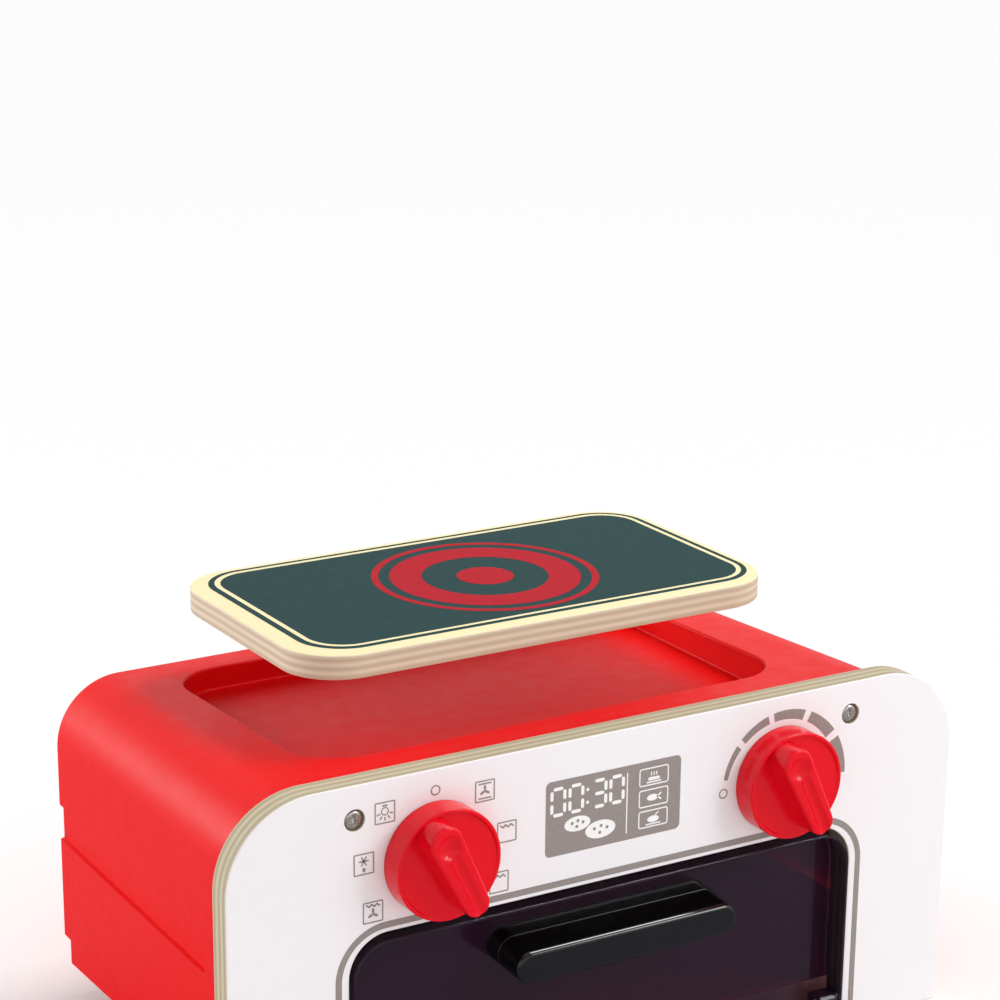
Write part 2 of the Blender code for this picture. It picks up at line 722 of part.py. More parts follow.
def door(material, frame):
    """Clear moulded tray with a thin rim, hinge ears and the root of the handle."""
    bottom = DOOR_LIFT
    shell = arch_outline(DOOR_HALF, bottom, DOOR_TOP, DOOR_CORNER)
    body = gather([along_y(shell, -DOOR_PROUD, PANEL_THICKNESS)])
    inner = arch_outline(DOOR_HALF - DOOR_RIM, bottom + DOOR_RIM, DOOR_TOP - DOOR_RIM,
                         DOOR_CORNER - DOOR_RIM)
    cut(body, [along_y(inner, -DOOR_PROUD - OVERRUN, DOOR_FACE_FRONT)])
    lugs = [handle_solid([(HANDLE_SEAM, 0), (DOOR_FACE_FRONT, 0), (DOOR_FACE_FRONT + DOOR_FACE / 2, 0)])]
    holes = []
    for _, side in SIDES:
        outer = side * (DOOR_HALF - DOOR_RIM / 2)
        inner_end = side * (DOOR_HALF - EAR_LENGTH)
        lugs.append(rod_x(EAR_RADIUS, min(outer, inner_end), max(outer, inner_end),
                          HINGE_DEPTH, HINGE_HEIGHT))
        past = side * (DOOR_HALF + OVERRUN)
        short = side * (DOOR_HALF - EAR_LENGTH - OVERRUN)
        holes.append(rod_x(PIN_RADIUS + GAP, min(past, short), max(past, short),
                           HINGE_DEPTH, HINGE_HEIGHT))
    join(body, lugs)
    pocket_back = HANDLE_SEAM + TONGUE_LENGTH + GAP
    holes.append(handle_solid([(HANDLE_SEAM - OVERRUN, HANDLE_WALL), (pocket_back, HANDLE_WALL)]))
    cut(body, holes)
    return settle(body, "door", material, frame, (0, HINGE_DEPTH, HINGE_HEIGHT))


def handle_cap(material, frame):
    """Front half of the handle, with a tongue that plugs into the root on the door."""
    stations = [(HANDLE_SEAM - GAP, 0)]
    for step in range(EDGE_STEPS + 1):
        angle = step / EDGE_STEPS * math.pi / 2
        depth = -HANDLE_PROUD + HANDLE_EDGE - HANDLE_EDGE * math.sin(angle)
        stations.append((depth, HANDLE_EDGE - HANDLE_EDGE * math.cos(angle)))
    body = gather([handle_solid(stations)])
    inset = HANDLE_WALL + GAP
    join(body, [handle_solid([(HANDLE_SEAM - OVERRUN, inset), (HANDLE_SEAM + TONGUE_LENGTH, inset)])])
    return settle(body, "handle_cap", material, frame, (0, HINGE_DEPTH, HINGE_HEIGHT))


def hinge_pin(name, side, material, frame):
    """Steel pin pressed into the panel beside the opening, on which one ear of the door turns."""
    inner = side * (DOOR_HALF - PIN_IN_DOOR)
    outer = side * (OPENING_HALF + PIN_IN_PANEL)
    body = gather([rod_x(PIN_RADIUS, min(inner, outer), max(inner, outer), HINGE_DEPTH, HINGE_HEIGHT)])
    return settle(body, name, material, frame)


def door_catch(material, frame):
    """Catch behind the panel whose tongue stops the top edge of the closed door."""
    front = CASING_FRONT
    back = front + CATCH_THICKNESS
    tongue = front + CATCH_TONGUE
    profile = [
        (front, DOOR_TOP - CATCH_OVERLAP),
        (tongue, DOOR_TOP - CATCH_OVERLAP),
        (tongue, CATCH_BOTTOM),
        (back, CATCH_BOTTOM + CATCH_CHAMFER),
        (back, CATCH_BOTTOM + CATCH_HEIGHT),
        (front, CATCH_BOTTOM + CATCH_HEIGHT),
    ]
    body = gather([along_x(profile, -CATCH_HALF_WIDTH, CATCH_HALF_WIDTH)])
    cut(body, [rod_y(SCREW_HOLE, 0, CATCH_SCREW_HEIGHT, front - OVERRUN, back + OVERRUN)])
    return settle(body, "door_catch", material, frame)


def grip_outline(inset):
    """Outline of a knob's grip seen from the front: a wide round head above a narrower round tip."""
    head_radius = GRIP_HEAD_RADIUS - inset
    tip_radius = GRIP_TIP_RADIUS - inset
    head = (0, GRIP_HEAD_REACH - GRIP_HEAD_RADIUS)
    tip = (0, GRIP_TIP_RADIUS - GRIP_TIP_REACH)
    lean = math.asin((GRIP_HEAD_RADIUS - GRIP_TIP_RADIUS) / (head[1] - tip[1]))
    upper = arc(head, head_radius, -lean, math.pi + lean, CORNER_STEPS)
    lower = arc(tip, tip_radius, math.pi + lean, 2 * math.pi - lean, CORNER_STEPS)
    return [*upper, *lower]


def knob(name, material, frame, place):
    """Turned disc with a raised rim, a grip bar across it, and a keyed socket in its back."""
    face = -GAP - KNOB_DISC
    scoop = face + KNOB_SCOOP
    inner = KNOB_RADIUS - KNOB_RIM
    profile = [
        (0, scoop + KNOB_SCOOP_SLOPE),
        (GRIP_HEAD_RADIUS, scoop + KNOB_SCOOP_SLOPE),
        (inner - KNOB_EDGE, scoop),
        (inner, face),
        (KNOB_RADIUS - KNOB_EDGE, face),
        (KNOB_RADIUS, face + KNOB_EDGE),
        (KNOB_RADIUS, -GAP),
        (0, -GAP),
    ]
    body = gather([turned(profile, KNOB_STEPS)])
    rings = []
    for depth, inset in ((face + GRIP_ROOT, 0), (GRIP_EDGE - KNOB_REACH, 0),
                         (GRIP_EDGE / 4 - KNOB_REACH, GRIP_EDGE / 4), (-KNOB_REACH, GRIP_EDGE)):
        rings.append([(x, depth, z) for x, z in grip_outline(inset)])
    join(body, [skin(rings)])

    ball = (DIMPLE_RADIUS ** 2 + DIMPLE_DEPTH ** 2) / (2 * DIMPLE_DEPTH)
    reach = math.asin(DIMPLE_RADIUS / ball)
    bowl = [(0, -DIMPLE_DEPTH - OVERRUN), (DIMPLE_RADIUS, -DIMPLE_DEPTH - OVERRUN)]
    for step in range(EDGE_STEPS):
        angle = reach * (1 - step / EDGE_STEPS)
        bowl.append((ball * math.sin(angle), ball * math.cos(angle) - ball))
    bowl.append((0, 0))
    dimple = moved(turned(bowl, ROUND_STEPS), (0, DIMPLE_DEPTH - KNOB_REACH, DIMPLE_OFFSET))
    pipe = (GROOVE_HALF_WIDTH ** 2 + GROOVE_DEPTH ** 2) / (2 * GROOVE_DEPTH)
    plan = circle_outline(pipe, (0, GROOVE_DEPTH - pipe - KNOB_REACH))
    groove = along_z(plan, -GRIP_TIP_REACH - OVERRUN, GROOVE_START)
    socket = along_y(d_outline(SPINDLE_RADIUS + GAP, SPINDLE_FLAT + GAP),
                     -GAP - SPINDLE_IN_KNOB - GAP, OVERRUN)
    cut(body, [dimple])
    cut(body, [groove])
    cut(body, [turned_over(socket, KNOB_TURN, "Y")])
    settle(body, name, material, frame, turn=-KNOB_TURN)
    body.location = place
    return body


def spindle(name, material, frame, place):
    """Shaft with one flat that carries the knob in front and the click wheel behind."""
    body = gather([along_y(d_outline(SPINDLE_RADIUS, SPINDLE_FLAT), -GAP - SPINDLE_IN_KNOB, WHEEL_BACK)])
    hole_front = WASHER_BACK + GAP - SPINDLE_SCREW_LENGTH - GAP
    cut(body, [rod_y(SMALL_HOLE, 0, 0, hole_front, WHEEL_BACK + OVERRUN)])
    settle(body, name, material, frame)
    body.location = place
    return body


def spindle_bush(name, material, frame, place):
    """Flanged sleeve that lines the spindle's hole in the plywood."""
    bore = SPINDLE_RADIUS + GAP
    outer = bore + BUSH_WALL
    profile = [
        (0, GAP),
        (outer, GAP),
        (outer, CASING_FRONT),
        (outer + BUSH_FLANGE, CASING_FRONT),
        (outer + BUSH_FLANGE, FLANGE_BACK),
        (0, FLANGE_BACK),
    ]
    body = gather([turned(profile, ROUND_STEPS)])
    cut(body, [rod_y(bore, 0, 0, -OVERRUN, FLANGE_BACK + OVERRUN)])
    settle(body, name, material, frame)
    body.location = place
    return body


def wheel_outline():
    """A disc with evenly spaced V notches, one of them straight up."""
    half_angle = NOTCH_HALF_WIDTH / WHEEL_RADIUS
    pitch = 2 * math.pi / WHEEL_NOTCHES
    points = []
    for notch in range(WHEEL_NOTCHES):
        middle = math.pi / 2 + notch * pitch
        places = ((middle - half_angle, WHEEL_RADIUS), (middle, WHEEL_RADIUS - NOTCH_DEPTH),
                  (middle + half_angle, WHEEL_RADIUS), (middle + pitch / 2, WHEEL_RADIUS))
        for angle, radius in places:
            points.append((radius * math.cos(angle), radius * math.sin(angle)))
    return points


def click_wheel(name, material, frame, place):
    """Notched wheel keyed to the spindle, which gives the knob its clicks."""
    body = gather([along_y(wheel_outline(), WHEEL_FRONT, WHEEL_BACK)])
    socket = d_outline(SPINDLE_RADIUS + GAP, SPINDLE_FLAT + GAP)
    cut(body, [along_y(socket, WHEEL_FRONT - OVERRUN, WHEEL_BACK + OVERRUN)])
    settle(body, name, material, frame)
    body.location = place
    return body


def click_spring(name, side, material, frame, place):
    """Bent leaf spring: a foot screwed to the panel and a finger whose nose drops into the notches."""
    low = SPRING_LOW
    high = low + SPRING_THICKNESS
    near = CASING_FRONT + SPRING_THICKNESS / 3
    width_front = WHEEL_FRONT + SPRING_MARGIN
    width_back = WHEEL_BACK - SPRING_MARGIN
    end = SPRING_ROOT + SPRING_FOOT_LENGTH
    plan = [
        (-SPRING_TAIL, width_front),
        (SPRING_ROOT, width_front),
        (SPRING_ROOT, near),
        (end, near),
        (end, width_back),
        (-SPRING_TAIL, width_back),
    ]
    body = gather([along_z([(-side * u, y) for u, y in plan], low, high)])
    foot_inner = -side * (SPRING_ROOT + SPRING_MARGIN)
    foot_outer = -side * (end - SPRING_MARGIN)
    foot = box((min(foot_inner, foot_outer), CASING_FRONT, low + SPRING_THICKNESS / 2),
               (max(foot_inner, foot_outer), CASING_FRONT + SPRING_THICKNESS, low + SPRING_FOOT_HEIGHT))
    tip = WHEEL_RADIUS - NOTCH_DEPTH + NOSE_TIP_CLEARANCE
    middle = low + SPRING_THICKNESS / 2
    nose = along_y([(-NOSE_HALF_WIDTH, middle), (0, tip), (NOSE_HALF_WIDTH, middle)],
                   width_front + SPRING_MARGIN, width_back - SPRING_MARGIN)
    join(body, [foot, nose])
    cut(body, [rod_y(SMALL_HOLE, -side * SPRING_SCREW_SIDE, SPRING_SCREW_RISE,
                     CASING_FRONT - OVERRUN, CASING_FRONT + SPRING_THICKNESS + OVERRUN)])
    settle(body, name, material, frame)
    body.location = place
    return body


def retaining_washer(name, material, frame, place):
    """Washer that keeps the click wheel on the spindle."""
    body = gather([rod_y(WASHER_RADIUS, 0, 0, WASHER_FRONT, WASHER_BACK)])
    cut(body, [rod_y(SMALL_HOLE, 0, 0, WASHER_FRONT - OVERRUN, WASHER_BACK + OVERRUN)])
    settle(body, name, material, frame)
    body.location = place
    return body


def empty(name, parent, place):
    """An empty that carries the pieces of one frame."""
    made = bpy.data.objects.new(name, None)
    bpy.context.scene.collection.objects.link(made)
    made.parent = parent
    made.location = place
    return made


def build():
    """Clear the scene and make every piece."""
    for old in list(bpy.data.objects):
        bpy.data.objects.remove(old)

    plywood = finish_material("plywood", "F4F1F2", 0.45)
    board_print = finish_material("board_print", "36504F", 0.45)
    red_plastic = finish_material("red_plastic", "E31C14", 0.4)
    door_plastic = finish_material("door_plastic", "2C1D28", 0.08, alpha=0.75)
    handle_plastic = finish_material("handle_plastic", "08070A", 0.1)
    steel = finish_material("steel", "B9B7B4", 0.3, metallic=1.0)
    zinc = finish_material("zinc", "C9C4B8", 0.35, metallic=1.0)
    nylon = finish_material("nylon", "E8E4DA", 0.5)
    rubber = finish_material("rubber", "232323", 0.8)

    oven = empty("oven", None, (0, FRAME_SHIFT, 0))
    front_panel(plywood, oven)
    casing(red_plastic, oven)
    base_plate(red_plastic, oven)
    hob_board(board_print, oven)
    door(door_plastic, oven)
    handle_cap(handle_plastic, oven)
    door_catch(nylon, oven)

    catch_seat = (0, CASING_FRONT + CATCH_THICKNESS + GAP, CATCH_SCREW_HEIGHT)
    add_screw("door_catch_screw", zinc, oven, catch_seat, CATCH_SCREW_LENGTH, "front")
    for name, side, x, depth in corner_posts():
        seat = (x, depth, BASE_LIFT + COUNTERBORE - GAP)
        add_screw(f"base_screw_{name}", zinc, oven, seat, BASE_SCREW_LENGTH, "up")
    for name, x, depth in foot_places():
        back_foot(f"back_foot_{name}", rubber, oven, x, depth)
        seat = (x, depth, FOOT_BORE_DEPTH - GAP)
        add_screw(f"foot_screw_{name}", zinc, oven, seat, FOOT_SCREW_LENGTH, "up")

    for name, side in SIDES:
        hinge_pin(f"hinge_pin_{name}", side, steel, oven)
        seat = (side * PANEL_SCREW_OFFSET, COUNTERBORE - GAP, PANEL_SCREW_HEIGHT)
        add_screw(f"panel_screw_{name}", zinc, oven, seat, PANEL_SCREW_LENGTH, "back")
        seat = (side * stub_screw_offset(), CASING_FRONT + STUB_THICKNESS + GAP,
                BASE_LIFT + STUB_SCREW_HEIGHT)
        add_screw(f"lower_panel_screw_{name}", zinc, oven, seat, STUB_SCREW_LENGTH, "front")

        axis = (side * KNOB_OFFSET, 0, KNOB_HEIGHT)
        spindle_bush(f"spindle_bush_{name}", nylon, oven, axis)
        click_spring(f"click_spring_{name}", side, steel, oven, axis)
        seat = (side * (KNOB_OFFSET - SPRING_SCREW_SIDE), CASING_FRONT + SPRING_THICKNESS + GAP,
                KNOB_HEIGHT + SPRING_SCREW_RISE)
        add_screw(f"click_spring_screw_{name}", zinc, oven, seat, SPRING_SCREW_LENGTH, "front", small=True)
        pivot = empty(f"knob_axis_{name}", oven, axis)
        knob(f"knob_{name}", red_plastic, pivot, (0, 0, 0))
        spindle(f"knob_spindle_{name}", steel, pivot, (0, 0, 0))
        click_wheel(f"click_wheel_{name}", nylon, pivot, (0, 0, 0))
        retaining_washer(f"retaining_washer_{name}", zinc, pivot, (0, 0, 0))
        add_screw(f"spindle_screw_{name}", zinc, pivot, (0, WASHER_BACK + GAP, 0), SPINDLE_SCREW_LENGTH,
                  "front", small=True)


build()
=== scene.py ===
# %% [markdown]
# A toy oven, dressed for its portrait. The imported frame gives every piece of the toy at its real
# size, in metres, with +Z up. This lesson puts a finely shaped and well finished surface on each
# piece, and leaves the places and the sizes as the frame says.

# %% Load the frame
import json
import math

import bmesh
import bpy
import numpy as np
from mathutils import Matrix, Vector

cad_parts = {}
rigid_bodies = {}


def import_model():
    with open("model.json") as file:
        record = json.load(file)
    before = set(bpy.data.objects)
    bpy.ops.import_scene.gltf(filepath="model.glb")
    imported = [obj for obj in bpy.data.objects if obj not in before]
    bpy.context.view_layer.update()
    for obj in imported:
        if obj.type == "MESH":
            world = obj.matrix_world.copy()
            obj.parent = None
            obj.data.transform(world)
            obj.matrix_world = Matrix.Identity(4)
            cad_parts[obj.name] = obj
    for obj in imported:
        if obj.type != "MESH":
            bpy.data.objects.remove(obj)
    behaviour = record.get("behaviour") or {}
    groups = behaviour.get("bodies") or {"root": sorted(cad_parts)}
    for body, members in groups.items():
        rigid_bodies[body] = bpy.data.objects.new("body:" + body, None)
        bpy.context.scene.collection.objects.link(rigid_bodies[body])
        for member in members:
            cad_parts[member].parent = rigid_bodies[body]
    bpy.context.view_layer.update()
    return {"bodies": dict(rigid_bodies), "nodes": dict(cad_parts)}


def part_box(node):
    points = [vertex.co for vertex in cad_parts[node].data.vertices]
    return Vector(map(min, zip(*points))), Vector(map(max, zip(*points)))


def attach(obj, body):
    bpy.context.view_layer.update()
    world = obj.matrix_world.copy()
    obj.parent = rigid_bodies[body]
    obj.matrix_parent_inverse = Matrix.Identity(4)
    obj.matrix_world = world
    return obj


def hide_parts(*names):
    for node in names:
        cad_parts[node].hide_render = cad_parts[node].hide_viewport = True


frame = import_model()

# %% [markdown]
# A toy maker draws in millimetres from the face of the front panel. So the shapes here are worked
# out as (x, depth, z): x to the right from the middle, depth back from the panel's face, and z up
# from the table. One function turns such points into the frame's metres at the very end.

# %% Millimetres and the panel's face
MM = 0.001
FACE_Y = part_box("front_panel")[0].y / MM


def in_frame(points):
    """Points in millimetres (x, depth, z) become metres in the frame: depth is shifted to the face."""
    return (np.asarray(points, float) + [0, FACE_Y, 0]) * MM


def node_box(name):
    """Lowest and highest corner of a frame piece, in millimetres (x, depth, z)."""
    return tuple(np.array(corner) / MM - [0, FACE_Y, 0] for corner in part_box(name))


(_, _, _), (PANEL_HALF, PANEL_THICK, PANEL_TOP) = node_box("front_panel")
print("panel half width, thickness, height:", PANEL_HALF.round(2), PANEL_THICK.round(2), PANEL_TOP.round(2))

# %% [markdown]
# Nearly every piece here is a skin of rings: an outline drawn at several stations, with quads
# between neighbouring rings and a flat cap at each end. The points of all rings form one grid, so
# the corner numbers of its quads come from one sum over whole arrays.

# %% Skins of rings
def grid_quads(rows, columns, rows_closed=False, columns_closed=True):
    """Corner numbers of the quads between neighbours on a grid; closed joins the last to the first."""
    row = np.arange(rows if rows_closed else rows - 1)[:, None]
    column = np.arange(columns if columns_closed else columns - 1)[None, :]
    next_row, next_column = (row + 1) % rows, (column + 1) % columns
    corners = (row * columns + column, row * columns + next_column,
               next_row * columns + next_column, next_row * columns + column)
    return np.stack(np.broadcast_arrays(*corners), -1).reshape(-1, 4)


def skin(rings, caps=(True, True), hoop=False):
    """Rings of equal length become one surface: capped at its ends, or joined last to first."""
    rings = np.asarray(rings, float)
    stations, count = rings.shape[:2]
    faces = grid_quads(stations, count, rows_closed=hoop).tolist()
    if caps[0] and not hoop:
        faces.append(list(range(count)))
    if caps[1] and not hoop:
        faces.append(list(range((stations - 1) * count, stations * count)))
    return rings.reshape(-1, 3), faces


# %% [markdown]
# A part can be several skins that share their seams. They are welded, their faces are turned
# outwards, and flat faces with holes in them are filled between their loops. Smooth shading would
# bend the light on a flat face next to a rounded edge, so a weighted normal keeps flats flat.

# %% From skins to a placed piece
WELD = 1e-6


def fill_flats(shape, axis):
    """Fill the open loops of each plane across an axis, and leave the holes inside them open."""
    loose = [edge for edge in shape.edges if edge.is_boundary]
    planes = sorted({round(edge.verts[0].co[axis] / WELD) for edge in loose})
    for plane in planes:
        rim = [edge for edge in loose if round(edge.verts[0].co[axis] / WELD) == plane]
        bmesh.ops.triangle_fill(shape, use_beauty=True, edges=rim)


def settle(made, material, body, stands_for=(), crease=30.0, edge=0.0):
    """Give an object its finish, smoothing, rounded edges, and its place on a body of the frame."""
    made.data.materials.clear()
    made.data.materials.append(material)
    made.data.shade_smooth()
    made.data.set_sharp_from_angle(angle=math.radians(crease))
    bpy.context.scene.collection.objects.link(made)
    if edge:
        soft = made.modifiers.new("soft edges", "BEVEL")
        soft.width, soft.segments, soft.harden_normals = edge * MM, 2, True
        soft.limit_method, soft.angle_limit = "ANGLE", math.radians(crease)
    else:
        made.modifiers.new("flats stay flat", "WEIGHTED_NORMAL").keep_sharp = True
    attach(made, body)
    if stands_for:
        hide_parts(*stands_for)
    print(f"{made.name}: {len(made.data.polygons)} faces, on {body}")
    return made


def piece(name, parts, material, body="housing", stands_for=(), crease=30.0, flats=None):
    """Join (points, faces) parts into one object; flats is the axis across which loops are filled."""
    starts = np.cumsum([0] + [len(points) for points, _ in parts])
    faces = [[corner + start for corner in face] for start, (_, own) in zip(starts, parts) for face in own]
    mesh = bpy.data.meshes.new(name)
    mesh.from_pydata(in_frame(np.vstack([points for points, _ in parts])).tolist(), [], faces)
    shape = bmesh.new()
    shape.from_mesh(mesh)
    bmesh.ops.remove_doubles(shape, verts=shape.verts, dist=WELD)
    bmesh.ops.dissolve_degenerate(shape, edges=shape.edges, dist=WELD / 10)
    if flats is not None:
        fill_flats(shape, flats)
    bmesh.ops.recalc_face_normals(shape, faces=shape.faces)
    shape.to_mesh(mesh)
    shape.free()
    return settle(bpy.data.objects.new(name, mesh), material, body, stands_for, crease)


# %% [markdown]
# Most outlines are straight runs and quarter circles. These functions give them as arrays of
# points, and take the sizes that a drawing would give.

# %% Outlines
def arc(centre, radius, start, stop, steps):
    """Points on a circle: centre plus radius times (cos, sin) of evenly spaced angles, in degrees."""
    angle = np.radians(np.linspace(start, stop, steps + 1))
    return np.stack([centre[0] + radius * np.cos(angle), centre[1] + radius * np.sin(angle)], -1)


def rounded_rectangle(half_x, half_y, corner, middle=(0, 0), steps=12):
    """Four quarter circles, joined by straight runs."""
    corners = ((1, 1), (-1, 1), (-1, -1), (1, -1))
    runs = [arc((middle[0] + sx * (half_x - corner), middle[1] + sy * (half_y - corner)), corner,
                90 * quarter, 90 * quarter + 90, steps) for quarter, (sx, sy) in enumerate(corners)]
    return np.vstack(runs)


def arch(half, bottom, top, corner, steps=20):
    """An upright rectangle whose two top corners are quarter circles."""
    right = arc((half - corner, top - corner), corner, 0, 90, steps)
    left = arc((corner - half, top - corner), corner, 90, 180, steps)
    return np.vstack([[(-half, bottom), (half, bottom)], right, left])


def stadium(half_length, half_height, middle=(0, 0), steps=20):
    """Two half circles joined by straight runs."""
    reach = half_length - half_height
    right = arc((middle[0] + reach, middle[1]), half_height, -90, 90, steps)
    left = arc((middle[0] - reach, middle[1]), half_height, 90, 270, steps)
    return np.vstack([right, left])


def circle(radius, middle=(0, 0), steps=48):
    """A full circle whose last point stops short of its first."""
    return arc(middle, radius, 0, 360, steps)[:-1]


def upright(outline, depth):
    """Stand an (x, z) outline up at a depth."""
    outline = np.asarray(outline, float)
    return np.stack([outline[:, 0], np.broadcast_to(depth, len(outline)), outline[:, 1]], -1)


def lying(outline, height):
    """Lay an (x, depth) outline down at a height."""
    outline = np.asarray(outline, float)
    return np.stack([outline[:, 0], outline[:, 1], np.broadcast_to(height, len(outline))], -1)


def rounding(radius, steps=4):
    """A quarter circle as (advance, inset) pairs, from level with a wall to level with the flat."""
    angle = np.radians(np.linspace(0, 90, steps + 1))
    return np.stack([radius * np.sin(angle), radius * (1 - np.cos(angle))], -1)


# %% [markdown]
# Every finish is a Principled shader whose colour is written as the hex value that the eye sees on
# a screen. A shader works in linear light, so one function turns one into the other. A second
# small function adds a node with its settings and its links, which keeps each recipe short.

# %% Colour and node helpers
MIX_A, MIX_B, MIX_COLOUR = 6, 7, 2


def linear(code, alpha=1.0):
    """An sRGB hex code as linear red, green, blue and alpha."""
    value = np.array([int(code[start:start + 2], 16) / 255 for start in (0, 2, 4)])
    value = np.where(value <= 0.04045, value / 12.92, ((value + 0.055) / 1.055) ** 2.4)
    return (*value.tolist(), alpha)


def add(tree, kind, inputs=None, **settings):
    """Add one shader node with its own settings, and feed its inputs with values or links."""
    made = tree.nodes.new(kind)
    for key, value in settings.items():
        setattr(made, key, value)
    for key, value in (inputs or {}).items():
        if isinstance(value, bpy.types.NodeSocket):
            tree.links.new(value, made.inputs[key])
        else:
            made.inputs[key].default_value = value
    return made


def finish(name, colour, roughness, **constants):
    """Start a material: its Principled shader, and the Object coordinates that its patterns read."""
    made = bpy.data.materials.new(name)
    made.use_nodes = True
    shader = made.node_tree.nodes["Principled BSDF"]
    shader.inputs["Base Color"].default_value = linear(colour)
    shader.inputs["Roughness"].default_value = roughness
    for key, value in constants.items():
        shader.inputs[key.replace("_", " ")].default_value = value
    place = add(made.node_tree, "ShaderNodeTexCoord").outputs["Object"]
    return made, made.node_tree, shader, place


def feed(tree, shader, **sockets):
    """Link outputs to the shader's sockets, whose spaces are written as underscores."""
    for key, output in sockets.items():
        tree.links.new(output, shader.inputs[key.replace("_", " ")])


# %% [markdown]
# The casing and the knobs are red ABS from a polished mould. Up close such a part isn't a mirror:
# its skin has a faint orange peel a few millimetres wide, and the gloss wanders a little where hands
# have rubbed it. ABS has an index of refraction of about 1.53. The casing is dulled by a fine
# texture in its mould, so its specular level is low, while the knobs are polished.

# %% Moulded ABS
def moulded(name, colour, deep, roughness, peel_mm, peel_depth, IOR=1.53, **constants):
    """Moulded plastic: peel bump at the mould's scale, a slow drift in colour, and a drift in gloss."""
    made, tree, shader, place = finish(name, colour, roughness, IOR=IOR, **constants)
    slow = add(tree, "ShaderNodeTexNoise", {"Vector": place, "Scale": 1 / (35 * MM), "Detail": 3.0})
    tint = add(tree, "ShaderNodeMix", {0: slow.outputs["Fac"], MIX_A: linear(colour),
               MIX_B: linear(deep)}, data_type="RGBA")
    scuffs = add(tree, "ShaderNodeTexNoise", {"Vector": place, "Scale": 1 / (6 * MM), "Detail": 2.0})
    gloss = add(tree, "ShaderNodeMapRange", {"Value": scuffs.outputs["Fac"], "From Min": 0.3,
                "From Max": 0.7, "To Min": roughness * 0.9, "To Max": roughness * 1.12})
    peel = add(tree, "ShaderNodeTexNoise", {"Vector": place, "Scale": 1 / (peel_mm * MM), "Detail": 0.0})
    bump = add(tree, "ShaderNodeBump", {"Height": peel.outputs["Fac"], "Distance": peel_depth * MM})
    feed(tree, shader, Base_Color=tint.outputs[MIX_COLOUR], Roughness=gloss.outputs["Result"],
         Normal=bump.outputs["Normal"])
    return made


casing_red = moulded("casing_red_abs", "EA0406", "E40204", 0.4, 4.0, 0.01, Specular_IOR_Level=0.14)
knob_red = moulded("knob_red_abs", "EA0A20", "E2081A", 0.16, 5.0, 0.004, Specular_IOR_Level=0.25)
print("made", casing_red.name, "and", knob_red.name)

# %% [markdown]
# Birch plywood shows its plies on every cut edge. They are turned a quarter to each other, so each
# second one is end grain and looks darker. The pattern is a wave across the sheet, one period for
# two plies, bent a little by noise that is drawn out along the cut.

# %% Ply edges
def ply_edges(tree, place, axis, ply_mm, dark, light):
    """Colour and fibre height of a cut edge, banded across the sheet along the given axis."""
    stretch = [0.03 / MM] * 3
    stretch["XYZ".index(axis)] = 1.6 / MM
    along = add(tree, "ShaderNodeMapping", {"Vector": place, "Scale": stretch})
    fibres = add(tree, "ShaderNodeTexNoise", {"Vector": along.outputs["Vector"], "Scale": 2.0,
                 "Detail": 5.0, "Roughness": 0.6})
    bands = add(tree, "ShaderNodeTexWave", {"Vector": place, "Scale": math.pi / (20 * ply_mm * MM),
                "Distortion": 0.9, "Detail": 2.0, "Detail Scale": 0.2, "Detail Roughness": 0.6},
                wave_type="BANDS", bands_direction=axis, wave_profile="SIN")
    share = add(tree, "ShaderNodeMix", {0: 0.45, 2: bands.outputs["Fac"], 3: fibres.outputs["Fac"]})
    colour = add(tree, "ShaderNodeMix", {0: share.outputs[0], MIX_A: linear(dark),
                 MIX_B: linear(light)}, data_type="RGBA")
    return colour.outputs[MIX_COLOUR], fibres.outputs["Fac"]


# %% [markdown]
# The front panel has white lacquer on its face only, rolled on and rubbed down, so it is smooth
# and half matt. Depth decides where the lacquer ends: just behind the rounded arris the bare plies
# begin, also inside the screw holes and around the door.

# %% White lacquer over plywood
LACQUER_DEPTH = 0.28
SHEET_PLY = 1.5


def lacquered_plywood():
    """White lacquer in front of one depth, bare birch plies behind it."""
    made, tree, shader, place = finish("white_lacquered_birch_ply", "F4F0F2", 0.42, IOR=1.5)
    plies, fibres = ply_edges(tree, place, "Y", SHEET_PLY, "9C8C70", "D2C8AC")
    parts = add(tree, "ShaderNodeSeparateXYZ", {"Vector": place})
    bare = add(tree, "ShaderNodeMapRange", {"Value": parts.outputs["Y"],
               "From Min": (FACE_Y + LACQUER_DEPTH - 0.04) * MM,
               "From Max": (FACE_Y + LACQUER_DEPTH + 0.04) * MM})
    colour = add(tree, "ShaderNodeMix", {0: bare.outputs["Result"], MIX_A: linear("F4F0F2"),
                 MIX_B: plies}, data_type="RGBA")
    gloss = add(tree, "ShaderNodeMapRange", {"Value": bare.outputs["Result"], "To Min": 0.42,
                "To Max": 0.72})
    roll = add(tree, "ShaderNodeTexNoise", {"Vector": place, "Scale": 1 / (1.4 * MM), "Detail": 3.0})
    height = add(tree, "ShaderNodeMix", {0: bare.outputs["Result"], 2: roll.outputs["Fac"], 3: fibres})
    bump = add(tree, "ShaderNodeBump", {"Height": height.outputs[0], "Distance": 0.012 * MM})
    feed(tree, shader, Base_Color=colour.outputs[MIX_COLOUR], Roughness=gloss.outputs["Result"],
         Normal=bump.outputs["Normal"])
    return made


panel_ply = lacquered_plywood()
print("made", panel_ply.name)

# %% [markdown]
# The panel is one sheet with a door opening that runs out at its bottom edge, so it stands on two
# legs. Its outline is walked once round, and each ring of the rounded arris is the same outline
# drawn a little smaller. The screw holes and the spindle holes are tubes, and the flat faces are
# filled between all these loops.

